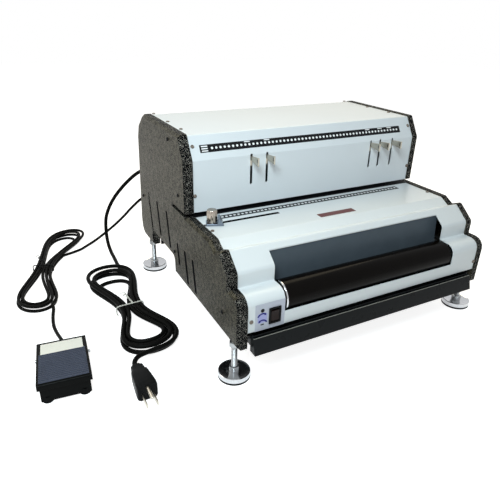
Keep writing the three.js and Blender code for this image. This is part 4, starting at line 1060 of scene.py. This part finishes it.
def gland(name, node, z, radius):
    """A tapered strain relief with the cuts that let it bend."""
    face = placed(spot(GLAND_X, GLAND_FACE_Y - GLAND_LENGTH, z), (1, 0, 0), (0, 0, -1))
    profile = millimetres(GLAND_FLANGE)
    low, high = GLAND_BOOT
    tip = radius * GLAND_TIP_SHARE
    for k in range(GLAND_RIBS):
        for share, cut in GLAND_CUTS:
            along = (k + share) / GLAND_RIBS
            outer = GLAND_RADIUS + (tip - GLAND_RADIUS) * along
            depth = GLAND_CUT_SHARE * (outer - radius) + GLAND_CUT_DEPTH
            profile.append((outer - cut * depth, low + (high - low) * along))
    profile += [(tip, GLAND_LENGTH - 2 * MM), (tip, GLAND_LENGTH - 0.5 * MM),
                (tip - 0.4 * MM, GLAND_LENGTH)]
    piece = turned(name, profile, face, "moulded_black", 32)
    return rides(piece, MACHINE, [node])


class MainsLeadOperator(bpy.types.Operator):
    """Lay the mains lead from its gland through its hank to the plug."""
    bl_idname = "binder.mains_lead"
    bl_label = "Mains lead"

    def execute(self, context):
        diameter = sizes().mains_cord
        plug_face = spot(*PLUG_FACE)
        end = [plug_face + Vector((0, diameter, 0)), plug_face]
        exit_point, line = run(PLUG_GLAND_Z, PLUG_ROUTE, PLUG_HANK, PLUG_TAIL_ROUTE, end, diameter)
        cord = lead("mains_lead", line, diameter, "flexible_jacket")
        rides(cord, MACHINE, ["plug_cord", "plug_hank", "plug_tail"])
        relief = gland("mains_strain_relief", "plug_gland", PLUG_GLAND_Z, diameter / 2)
        band = tie("mains_lead_tie", PLUG_HANK, diameter, "tie_paper")
        pieces = [relief, band, *make_plug()]
        return {"FINISHED"}


class PedalLeadOperator(bpy.types.Operator):
    """Lay the pedal's lead from its gland through its hank to the pedal."""
    bl_idname = "binder.pedal_lead"
    bl_label = "Pedal lead"

    def execute(self, context):
        diameter = sizes().pedal_cord
        pedal = pedal_axes(PEDAL_RELIEF_Y, PEDAL_RELIEF_Z)
        end = [pedal @ Vector((0, diameter, 0)), pedal.translation.copy()]
        exit_point, line = run(
            PEDAL_GLAND_Z, PEDAL_ROUTE, PEDAL_HANK, PEDAL_TAIL_ROUTE, end, diameter)
        cord = lead("pedal_lead", line, diameter, "flexible_jacket")
        rides(cord, MACHINE, ["pedal_cord", "pedal_hank", "pedal_tail"])
        relief = gland("pedal_strain_relief", "pedal_gland", PEDAL_GLAND_Z, diameter / 2)
        band = tie("pedal_lead_tie", PEDAL_HANK, diameter, "moulded_black")
        return {"FINISHED"}


PLUG_LENGTH = 51 * MM
PLUG_WIDTH = 25 * MM
PLUG_HEIGHT = 24 * MM
# Share of the plug's length, width and height at each step from its cord to its face
PLUG_STEPS = (
    (0, 0.38, 0.38), (0.02, 0.42, 0.42), (0.08, 0.44, 0.44), (0.1, 0.62, 0.58),
    (0.26, 0.68, 0.64), (0.34, 0.84, 0.74), (0.5, 0.9, 0.84), (0.7, 0.96, 0.94),
    (0.85, 1.0, 1.0), (0.97, 1.0, 1.0), (1, 0.94, 0.94),
)
PLUG_ROUNDING = 0.2
BLADE_PITCH = 12.7 * MM
BLADE = (1.5 * MM, 6.3 * MM, 18 * MM)
BLADE_DROP = 5 * MM
BLADE_ROOT = -2 * MM
EARTH_RISE = 6.9 * MM
EARTH_RADIUS = 2.1 * MM
EARTH_LENGTH = 20.5 * MM


def make_plug():
    """The plug's moulded body, its two blades and its round earth pin."""
    x, y, z = PLUG_FACE
    rings = []
    for step, width, height in PLUG_STEPS:
        wide, high = width * PLUG_WIDTH, height * PLUG_HEIGHT
        outline = box_outline(wide, high, PLUG_ROUNDING * min(wide, high), 5)
        rings.append([spot(x + across, y - step * PLUG_LENGTH, z + up) for across, up in outline])
    body = skinned("plug_body", rings, "moulded_black")
    rides(body, MACHINE, ["plug"])

    def face(across, up):
        return placed(spot(x + across, y - PLUG_LENGTH, z + up), (1, 0, 0), (0, 0, 1))

    thick, wide, long = BLADE
    blades = merge("plug_blades", [
        slab("blade", box_outline(thick, wide, 0.3 * MM, 3), BLADE_ROOT, long,
             face(side * BLADE_PITCH / 2, -BLADE_DROP), "dull_nickel", 0.5 * MM)
        for side in (-1, 1)
    ])
    rides(blades, MACHINE)
    profile = [(EARTH_RADIUS, BLADE_ROOT), (EARTH_RADIUS, EARTH_LENGTH - 2 * MM),
               (EARTH_RADIUS * 0.85, EARTH_LENGTH - 0.8 * MM), (EARTH_RADIUS * 0.45, EARTH_LENGTH)]
    pin = turned("plug_earth_pin", profile, face(0, EARTH_RISE), "dull_nickel", 24)
    rides(pin, MACHINE)
    return [body, blades, pin]


# Housing

GUIDE_SLOT_X = -135.5 * MM
GUIDE_SLOT_Y = -80 * MM
GUIDE_SLOT_HALF = 57 * MM
GUIDE_SLOT_WIDTH = 4.2 * MM
GUIDE_SLOT_DEPTH = 3 * MM
VENT_LEAST = 20 * MM
VENT_MOST = 75 * MM
# A sheet's faces whose normals lean less than this out of it are walls of its openings
WALL_LEAN = 0.5


class HousingOperator(bpy.types.Operator):
    """Finish the side plates, both covers, the rear panel and the crossbar."""
    bl_idname = "binder.housing"
    bl_label = "Housing"

    def execute(self, context):
        for side in ("left", "right"):
            # The plates' edges take a darker copy of their enamel as painted shade
            plate = softened(f"side_plate_{side}", MACHINE, "plate_face_enamel",
                             sizes().plate_edge, "plate_edge_enamel")
            # Painted shade inside the plate's vents
            paint_vent_wall_shade(plate)
        softened("upper_cover", MACHINE, "upper_cover_coat")
        # The walls of the lower cover's guide slot take painted shade
        paint_guide_slot_wall_shade(softened("lower_cover", MACHINE, "lower_cover_coat"))
        softened("rear_panel", MACHINE, "frame_enamel")
        softened("rear_crossbar", MACHINE, "frame_enamel")
        return {"FINISHED"}


def paint_guide_slot_wall_shade(cover):
    """Paint shade on the walls of the edge guide's slot: the dark frame enamel stands in for the
    shade inside it.
    """
    cover.data.materials.append(finish("frame_enamel"))
    for face in cover.data.polygons:
        away = face.center - spot(GUIDE_SLOT_X, GUIDE_SLOT_Y, DECK_Z)
        near = (abs(away.x) < GUIDE_SLOT_HALF and abs(away.y) < GUIDE_SLOT_WIDTH
                and abs(away.z) < GUIDE_SLOT_DEPTH)
        if near and abs(face.normal.z) < WALL_LEAN:
            face.material_index = 1


def paint_vent_wall_shade(plate):
    """Paint shade on the walls of a plate's vents: the dark frame enamel stands in for the shade
    inside them.
    """
    plate.data.materials.append(finish("frame_enamel"))
    work = bmesh.new()
    work.from_mesh(plate.data)
    walls = {face for face in work.faces if abs(face.normal.x) < WALL_LEAN}
    while walls:
        ring = {walls.pop()}
        waiting = list(ring)
        while waiting:
            for edge in waiting.pop().edges:
                for face in edge.link_faces:
                    if face in walls:
                        walls.discard(face)
                        ring.add(face)
                        waiting.append(face)
        heights = [vertex.co.z for face in ring for vertex in face.verts]
        if VENT_LEAST < max(heights) - min(heights) < VENT_MOST:
            for face in ring:
                face.material_index = 2
    work.to_mesh(plate.data)
    work.free()


# Place and facing of each screw in the covers, then the places of those in a side plate, all
# in millimetres from the machine's axes
SCREWS = {
    (0, -0.8547, 0.519): [(-190, -35.5, 258.5), (190, -35.5, 258.5)],
    (0, -1, 0): [(-192, -45.8, 193.5), (192, -45.8, 193.5), (-189.3, -210, 90), (192, -210, 88)],
    (0, 0, 1): [(x, y, 272) for x in (-188, 188) for y in (133, 66, 10.7)]
    + [(-190.6, -101, 163.8), (190.6, -101, 163.8)],
}
PLATE_SCREWS = [(12, 260), (-21.4, 188.8), (-167.4, 84), (155.6, 131), (3.1, 91.3)]
PLATE_HALF = 207.5
RECESS_SHARE = 0.16
RECESS_INSET = 0.05


def screw_pattern():
    """One pan-headed screw of unit diameter, with a round recess."""
    head = turned("screw", [(0.5, -0.02), (0.5, 0.1), (0.46, 0.19), (0.34, 0.27), (0.2, 0.3)],
                  Matrix.Identity(4), "zinc_plate", 24)
    work = bmesh.new()
    work.from_mesh(head.data)
    top = max(work.faces, key=lambda face: face.calc_center_median().z)
    bmesh.ops.inset_individual(work, faces=[top], thickness=RECESS_INSET, depth=-RECESS_SHARE)
    work.to_mesh(head.data)
    work.free()
    return head


class ScrewsOperator(bpy.types.Operator):
    """Set the screws in the covers and the side plates."""
    bl_idname = "binder.screws"
    bl_label = "Screws"

    def execute(self, context):
        covers = [(facing, place) for facing, places in SCREWS.items() for place in places]
        plates = [((side, 0, 0), (side * PLATE_HALF, y, z))
                  for side in (-1, 1) for y, z in PLATE_SCREWS]
        for name, screws, material in (
            ("cover_screws", covers, "dark_plate"), ("plate_screws", plates, "frame_enamel"),
        ):
            points = bpy.data.meshes.new(name)
            places = [spot(x * MM, y * MM, z * MM) for facing, (x, y, z) in screws]
            points.from_pydata(places, [], [])
            attribute = points.attributes.new("facing", "FLOAT_VECTOR", "POINT")
            attribute.data.foreach_set(
                "vector", [share for facing, place in screws for share in facing])
            screw = screw_pattern()
            piece = grown(name, screw_tree(), {
                "Screw": screw, "Scale": sizes().screw_head, "Material": finish(material),
            }, points=points)
            bpy.data.objects.remove(screw)
            rides(piece, MACHINE)
        return {"FINISHED"}


# Printed marks

STRIP_LEFT_X = -180.5 * MM
STRIP_RIGHT_X = 170.7 * MM
STRIP_LOW = 10.1 * MM
STRIP_HIGH = 21 * MM
MARK_HEIGHT = 15.5 * MM
TICK_WIDTH = 9 * MM
TICK_CORNER = 0.3 * MM
SIZE_TICK = 1.3 * MM
SIZE_TICK_DROP = 1.4 * MM
SIZE_TICKS = (9.5, 14.5, 43.5, 47.5, 50.5)
KEY_TICK = 1.6 * MM
KEY_TICK_INSET = 7 * MM
KEY_TICK_LEVELS = (2.2 * MM, 5.4 * MM, 8.6 * MM)
SCALE_LEFT_X = -164 * MM
SCALE_RIGHT_X = 161 * MM
SCALE_LOW_Y = -68 * MM
SCALE_HIGH_Y = -56.5 * MM
# Painted shadow round the edge guide's slot: how far its black frame reaches past the slot, and how
# far its hole stops short of the slot's ends
SLOT_SHADE_MARGIN = (1 * MM, 1.6 * MM)
SLOT_SHADE_END = 1.4 * MM
BADGE_PLACE = (-2 * MM, -114 * MM)
BADGE_SIZE = (62 * MM, 12 * MM)


def hole_x(number):
    return HOLE_SHIFT + HOLE_PITCH * (number - (HOLE_COUNT + 1) / 2)


def facet_spot(x, up):
    """Axes on the printed strip's top, a height up the facet."""
    return facet_axes(x) @ Matrix.Translation((0, up, PRINT))


def marks(name, count, radius, sides, turn, start):
    """Marks in a row at the pitch of the holes."""
    piece = grown(name, row_tree(), {
        "Count": count, "Step": (HOLE_PITCH, 0.0, 0.0), "Radius": radius, "Depth": PRINT,
        "Sides": sides, "Turn": (0.0, 0.0, turn), "Material": finish("white_print"),
    }, start)
    return rides(piece, MACHINE)


class ScalesOperator(bpy.types.Operator):
    """Lay the marked strip on the facet; the scale, a painted shadow round the guide slot and the
    badge on the deck.
    """
    bl_idname = "binder.scales"
    bl_label = "Hole marks and scale"

    def execute(self, context):
        band = facet_axes((STRIP_LEFT_X + STRIP_RIGHT_X) / 2)
        band = band @ Matrix.Translation((0, (STRIP_LOW + STRIP_HIGH) / 2, 0))
        outline = box_outline(STRIP_RIGHT_X - STRIP_LEFT_X, STRIP_HIGH - STRIP_LOW, 0.6 * MM, 3)
        rides(slab("hole_strip", outline, 0, PRINT, band, "black_print"), MACHINE)
        marks("hole_marks", HOLE_COUNT, sizes().mark / 2, 16, 0.0,
              facet_spot(hole_x(1), MARK_HEIGHT))
        places = [(SIZE_TICK, facet_spot(hole_x(number), STRIP_HIGH - SIZE_TICK_DROP))
                  for number in SIZE_TICKS]
        places += [(KEY_TICK, facet_spot(STRIP_LEFT_X + KEY_TICK_INSET, STRIP_LOW + level))
                   for level in KEY_TICK_LEVELS]
        ticks = [
            slab("tick", box_outline(TICK_WIDTH, height, TICK_CORNER, 2), 0, PRINT / 2, place,
                 "white_print")
            for height, place in places
        ]
        rides(merge("size_ticks", ticks), MACHINE)
        deck = deck_axes((SCALE_LEFT_X + SCALE_RIGHT_X) / 2, (SCALE_LOW_Y + SCALE_HIGH_Y) / 2)
        outline = box_outline(SCALE_RIGHT_X - SCALE_LEFT_X, SCALE_HIGH_Y - SCALE_LOW_Y, 0.5 * MM, 3)
        rides(slab("deck_scale", outline, 0, PRINT, deck, "black_print"), MACHINE)
        count = round((SCALE_RIGHT_X - SCALE_LEFT_X) / HOLE_PITCH) - 1
        marks("deck_scale_squares", count, sizes().square / math.sqrt(2), 4, math.pi / 4,
              deck @ Matrix.Translation((-(count - 1) / 2 * HOLE_PITCH, 0, PRINT)))
        # A thin black frame round the guide slot, as painted shadow
        size = (2 * GUIDE_SLOT_HALF + SLOT_SHADE_MARGIN[0], GUIDE_SLOT_WIDTH + SLOT_SHADE_MARGIN[1])
        hole_half = (GUIDE_SLOT_HALF - SLOT_SHADE_END, GUIDE_SLOT_WIDTH / 2)
        rides(framed("guide_slot_edge", size, (0, 0), hole_half,
                     deck_axes(GUIDE_SLOT_X, GUIDE_SLOT_Y), "black_print"), MACHINE)
        rides(slab("deck_badge", box_outline(*BADGE_SIZE, 1 * MM), 0, PRINT,
                   deck_axes(*BADGE_PLACE), "red_print"), MACHINE)
        return {"FINISHED"}


# Pieces that move, and what is round them

ROLLER_LEFT_X = -138 * MM
# From the ring's rim, and height, in millimetres
ROLLER_RING = [(-1, -0.2), (0, -0.2), (0, 0.9), (-0.3, 1.5), (-1, 1.9), (-5, 1.9)]
ROLLER_RING_LIFT = 0.2 * MM


class InserterOperator(bpy.types.Operator):
    """Finish the coil roller with its end ring, the apron and the inserter's frame."""
    bl_idname = "binder.inserter"
    bl_label = "Coil inserter"

    def execute(self, context):
        softened("inserter_roller", "inserter_roller", "roller_sleeve")
        softened("inserter_apron", MACHINE, "apron_enamel", 0.2 * MM)
        softened("inserter_frame", MACHINE, "zinc_plate")
        low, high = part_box("inserter_roller")
        middle = (low + high) / 2
        rim = (high.z - low.z) / 2 + ROLLER_RING_LIFT
        left = placed(Vector((MIDDLE_X + ROLLER_LEFT_X, middle.y, middle.z)), (0, 1, 0), (0, 0, -1))
        profile = [(rim + away, height) for away, height in millimetres(ROLLER_RING)]
        band = turned("roller_cap", profile, left, "polished_chrome")
        rides(band, "inserter_roller")
        return {"FINISHED"}


LABEL_X = -163.8 * MM
LABEL_Z = 92.7 * MM
LABEL_SIZE = (41 * MM, 37 * MM)
LABEL_LAP = 0.9 * MM
PATCH_Z = 91.5 * MM
PATCH_SIDE = 13 * MM
ARROW_X = -174.4 * MM
ARROW_RADIUS = 6.5 * MM
ARROW_STROKE = 2.1 * MM
ARROW_START = 158
ARROW_SWEEP = 100
ARROW_STEPS = 12
ARROW_HEAD = 0.42
# Level of each arrow's middle, by the way it turns
ARROW_LEVELS = {1: 91.3 * MM, -1: 82 * MM}
# Width, height and level of the dot over the arrows and the dash under them
DOTS = ((5.2 * MM, 5.2 * MM, 102 * MM), (5 * MM, 1.8 * MM, 82.4 * MM))


def turning_arrow(way):
    """The outline of a bent arrow that points one way round."""
    sweep = [math.radians(ARROW_START - ARROW_SWEEP * k / ARROW_STEPS)
             for k in range(ARROW_STEPS + 1)]
    half = ARROW_STROKE / 2
    polar = [(ARROW_RADIUS + half, angle) for angle in sweep]
    polar += [(ARROW_RADIUS + 2 * half, sweep[-1]), (ARROW_RADIUS, sweep[-1] - ARROW_HEAD),
              (ARROW_RADIUS - 2 * half, sweep[-1])]
    polar += [(ARROW_RADIUS - half, angle) for angle in reversed(sweep)]
    return [(way * radius * math.cos(angle), radius * math.sin(angle)) for radius, angle in polar]


class SwitchOperator(bpy.types.Operator):
    """Finish the roller switch and its printed plate with two turning arrows."""
    bl_idname = "binder.switch"
    bl_label = "Roller switch"

    def execute(self, context):
        softened("switch_body", MACHINE, "moulded_black", 0.35 * MM)
        softened("switch_rocker", "switch_rocker", "rocker_plastic", 0.3 * MM)
        low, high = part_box("switch_body")
        hole = ((low.x + high.x) / 2 - MIDDLE_X - LABEL_X, (low.z + high.z) / 2 - LABEL_Z)
        hole_half = ((high.x - low.x) / 2 - LABEL_LAP, (high.z - low.z) / 2 - LABEL_LAP)
        rides(framed("switch_plate", LABEL_SIZE, hole, hole_half, front_axes(LABEL_X, LABEL_Z),
                     "label_print"), MACHINE)
        patch = slab("switch_plate_patch", box_outline(PATCH_SIDE, PATCH_SIDE, 2 * MM),
                     0, PRINT / 4, front_axes(ARROW_X, PATCH_Z, PRINT), "patch_print")
        rides(patch, MACHINE)
        lift = PRINT * 5 / 4
        arrows = [
            slab("arrow", turning_arrow(way), 0, PRINT / 2, front_axes(ARROW_X, level, lift),
                 "arrow_print")
            for way, level in ARROW_LEVELS.items()
        ]
        rides(merge("turning_arrows", arrows), MACHINE)
        dots = [
            slab("dot", box_outline(width, height, 0.48 * height, 5), 0, PRINT / 2,
                 front_axes(ARROW_X, level, lift), "black_print")
            for width, height, level in DOTS
        ]
        rides(merge("switch_plate_dots", dots), MACHINE)
        return {"FINISHED"}


# A painted highlight along the drawer's lip: a thin light tube on its top front edge
LIP_LEFT_X = -190.3 * MM
LIP_RIGHT_X = 179.3 * MM
LIP_Y = -218.3 * MM
LIP_Z = 70.6 * MM
LIP_RADIUS = 0.65 * MM


class DrawerOperator(bpy.types.Operator):
    """Finish the chip drawer and its rails."""
    bl_idname = "binder.drawer"
    bl_label = "Chip drawer"

    def execute(self, context):
        softened("chip_drawer", "chip_drawer", "drawer_enamel", 0.7 * MM)
        # Painted highlight along the drawer's lip
        line = [spot(x, LIP_Y, LIP_Z) for x in (LIP_LEFT_X, 0, LIP_RIGHT_X)]
        lip = swept("drawer_lip", line, lambda share: LIP_RADIUS, "rubbed_edge", 12)
        rides(lip, "chip_drawer")
        for side in ("left", "right"):
            softened(f"drawer_rail_{side}", MACHINE, "zinc_plate")
        return {"FINISHED"}


# Painted shade of each head's slot: where a thin dark print sits on each face of a tab, and its
# size
TAB_SLOT_Y = -63.9 * MM
TAB_SLOT_Z = 237.2 * MM
TAB_SLOT_FACE = 1 * MM
TAB_SLOT_SIZE = (1.3 * MM, 5 * MM)


class TabsOperator(bpy.types.Operator):
    """Finish the die release tabs, with painted shade for the slot in each head: a thin dark print
    on each side of a tab.
    """
    bl_idname = "binder.release_tabs"
    bl_label = "Release tabs"

    def execute(self, context):
        for tab in TABS:
            softened(tab, tab, "dull_nickel", 0.3 * MM)
            middle = centre(tab).x
            slot_shades = []
            for side in (-1, 1):
                face = Vector((middle + side * TAB_SLOT_FACE, PUNCH_Y + TAB_SLOT_Y, TAB_SLOT_Z))
                slot_shades.append(slab(f"{tab}_slot", box_outline(*TAB_SLOT_SIZE, 0.6 * MM, 4),
                                  0, 0.05 * MM, placed(face, (0, side, 0), (0, 0, 1)),
                                  "black_print"))
            rides(merge(f"{tab}_slot", slot_shades), tab)
        return {"FINISHED"}


KNOB_FLUTES = 14
KNOB_FLUTE_DEPTH = 0.07
KNOB_PROFILE = [(0.9, 0.0), (1.0, 0.04), (1.0, 0.5), (1.0, 0.93), (0.94, 0.98), (0.86, 1.0)]


class EdgeGuideOperator(bpy.types.Operator):
    """Finish the edge guide and its fluted knob."""
    bl_idname = "binder.edge_guide"
    bl_label = "Edge guide"

    def execute(self, context):
        softened("edge_guide", "edge_guide", "guide_plate", 0.8 * MM)
        low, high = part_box("edge_guide_knob")
        middle = (low + high) / 2
        radius = (high.x - low.x) / 2

        def fluted(share, height, angle):
            flute = KNOB_FLUTE_DEPTH * (share > 0.9) * abs(math.sin(KNOB_FLUTES * angle / 2))
            return radius * (share - flute)

        profile = [(share, level * (high.z - low.z)) for share, level in KNOB_PROFILE]
        foot = Matrix.Translation((middle.x, middle.y, low.z))
        knob = turned("edge_guide_knob_finished", profile, foot, "knob_plate", 6 * KNOB_FLUTES,
                      fluted)
        rides(knob, "edge_guide_knob", ["edge_guide_knob"])
        return {"FINISHED"}


# Feet: radius and height pairs in millimetres, and the heights that each piece spans
FOOT_DISC = [(20, 3), (20.7, 3.2), (21, 3.8), (21, 8.4), (20.7, 9.2), (20, 9.6), (19.2, 9.5),
             (18.4, 9), (9, 9.4), (6, 9.6)]
FOOT_RUBBER = [(20.1, 0), (20.8, 0.4), (21, 1), (21, 2.4), (20.6, 2.8)]
STUD_SPAN = (15 * MM, 69.5 * MM)
STUD_RADIUS = 4 * MM
THREAD_DEPTH = 0.6 * MM
THREAD_LEVELS = 6
HUB_SPAN = (9.5 * MM, 16 * MM)
NUT_SPAN = (46.4 * MM, 53.4 * MM)
NUT_HALF = 7 * MM
NUT_CHAMFER = 0.8 * MM


def threaded(name, place, low, high, material):
    """A stud whose radius follows a screw line."""
    pitch = sizes().thread_pitch
    count = round((high - low) / pitch * THREAD_LEVELS)

    def screwed(radius, height, angle):
        phase = (height / pitch - angle / (2 * math.pi)) % 1
        return radius - THREAD_DEPTH * abs(2 * phase - 1)

    profile = [(STUD_RADIUS, low + (high - low) * level / count) for level in range(count + 1)]
    return turned(name, profile, place, material, 24, screwed)


def lock_nut(name, place, low, high, material):
    """A hexagonal nut with its corners turned off above and below."""
    def hexagonal(share, height, angle):
        flat = angle % (math.pi / 3) - math.pi / 6
        return min(NUT_HALF * math.cos(math.pi / 6) / math.cos(flat), NUT_HALF * share)

    profile = [(0.9, low), (1.0, low + NUT_CHAMFER), (1.0, high - NUT_CHAMFER), (0.9, high)]
    return turned(name, profile, place, material, 36, hexagonal)


class FeetOperator(bpy.types.Operator):
    """Turn the levelling feet with their studs, nuts and rubber pads."""
    bl_idname = "binder.feet"
    bl_label = "Levelling feet"

    def execute(self, context):
        for foot in FEET:
            middle = centre(foot)
            place = Matrix.Translation((middle.x, middle.y, 0))
            disc = turned(f"{foot}_disc", millimetres(FOOT_DISC), place, "polished_chrome")
            rides(disc, foot, [foot])
            stud = threaded("stud", place, *STUD_SPAN, "zinc_plate")
            nut = lock_nut("nut", place, *NUT_SPAN, "zinc_plate")
            hub = lock_nut("hub", place, *HUB_SPAN, "zinc_plate")
            rides(merge(f"{foot}_stud", [stud, nut, hub]), foot)
            pad = turned(f"{foot}_rubber", millimetres(FOOT_RUBBER), place, "foot_rubber")
            rides(pad, foot, [foot.replace("foot", "foot_pad")])
        return {"FINISHED"}


PAD_WIDTH = 58 * MM
PAD_REAR_Y = 16 * MM
PAD_FRONT_Y = -49 * MM
PAD_HEIGHT = 0.9 * MM
PAD_MARGIN = 3 * MM
RIB_SHARE = 0.36
PLATE_SIZE = (52 * MM, 28.5 * MM)
PLATE_Y = 31.2 * MM


class PedalOperator(bpy.types.Operator):
    """Finish the foot pedal with its ribbed pad and its bare plate."""
    bl_idname = "binder.pedal"
    bl_label = "Foot pedal"

    def execute(self, context):
        softened("pedal_base", MACHINE, "pedal_enamel", 0.8 * MM)
        softened("pedal_treadle", "pedal_treadle", "pedal_enamel", 0.8 * MM)
        softened("pedal_pin", MACHINE, "zinc_plate", 0.4 * MM)
        top = treadle_axes()
        length = PAD_REAR_Y - PAD_FRONT_Y
        seat = top @ Matrix.Translation((0, (PAD_REAR_Y + PAD_FRONT_Y) / 2, 0))
        # The pad's base takes the darker foot rubber as painted shade between the ribs
        pad = slab("treadle_pad", box_outline(PAD_WIDTH, length, 1.5 * MM), 0, PAD_HEIGHT, seat,
                   "foot_rubber", 0.3 * MM)
        rides(pad, "pedal_treadle")
        count = sizes().pad_ribs
        pitch = (length - PAD_MARGIN) / (count - 1)
        ribs = grown("treadle_ribs", row_tree(), {
            "Count": count, "Step": (0.0, pitch, 0.0), "Radius": pitch * RIB_SHARE,
            "Depth": PAD_WIDTH - 2 * MM, "Sides": 8, "Turn": (0.0, math.pi / 2, 0.0),
            "Material": finish("treadle_rubber"),
        }, seat @ Matrix.Translation((0, -(count - 1) * pitch / 2, PAD_HEIGHT)))
        rides(ribs, "pedal_treadle")
        plate = slab("treadle_plate", box_outline(*PLATE_SIZE, 0.6 * MM), 0, 0.4 * MM,
                     top @ Matrix.Translation((0, PLATE_Y, 0)), "bare_label", 0.1 * MM)
        rides(plate, "pedal_treadle")
        return {"FINISHED"}


INNER = {
    "zinc_plate": (
        "base_plate", "paper_stop", "carriage_guide_left", "carriage_guide_right",
        "bearing_left", "bearing_right", "drive_pulley", "inserter_motor_pulley",
    ),
    "ground_steel": ("punch_guide", "punch_bar", "camshaft"),
    "frame_enamel": ("die_block",),
    "motor_enamel": ("gear_motor", "inserter_motor"),
    "foot_rubber": ("drive_belt", "inserter_belt"),
}


class InnerWorksOperator(bpy.types.Operator):
    """Give the works inside the housing their metals, enamels and rubber."""
    bl_idname = "binder.inner_works"
    bl_label = "Inner works"

    def execute(self, context):
        for material, nodes in INNER.items():
            for node in nodes:
                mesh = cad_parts[node].data
                mesh.materials.clear()
                mesh.materials.append(finish(material))
        return {"FINISHED"}


OPERATORS = (
    StageOperator, MainsLeadOperator, PedalLeadOperator, HousingOperator, InserterOperator,
    SwitchOperator, DrawerOperator, TabsOperator, EdgeGuideOperator, FeetOperator, PedalOperator,
    ScalesOperator, ScrewsOperator, InnerWorksOperator,
)


class BinderPanel(bpy.types.Panel):
    """The machine's steps, colours and sizes."""
    bl_idname = "VIEW3D_PT_binder"
    bl_label = "Coil binding machine"
    bl_space_type = "VIEW_3D"
    bl_region_type = "UI"
    bl_category = "Binder"

    def draw(self, context):
        column = self.layout.column()
        for operator in OPERATORS:
            column.operator(operator.bl_idname)
        for group in (context.scene.binder_colours, context.scene.binder_sizes):
            for name in group.__annotations__:
                column.prop(group, name)


CLASSES = (BinderColours, BinderSizes, *OPERATORS, BinderPanel)


def register():
    for kind in CLASSES:
        bpy.utils.register_class(kind)
    bpy.types.Scene.binder_colours = PointerProperty(type=BinderColours)
    bpy.types.Scene.binder_sizes = PointerProperty(type=BinderSizes)


def unregister():
    del bpy.types.Scene.binder_sizes
    del bpy.types.Scene.binder_colours
    for kind in reversed(CLASSES):
        bpy.utils.unregister_class(kind)


def main():
    register()
    for operator in OPERATORS:
        group, name = operator.bl_idname.split(".")
        getattr(getattr(bpy.ops, group), name)()


if __name__ == "__main__":
    main()
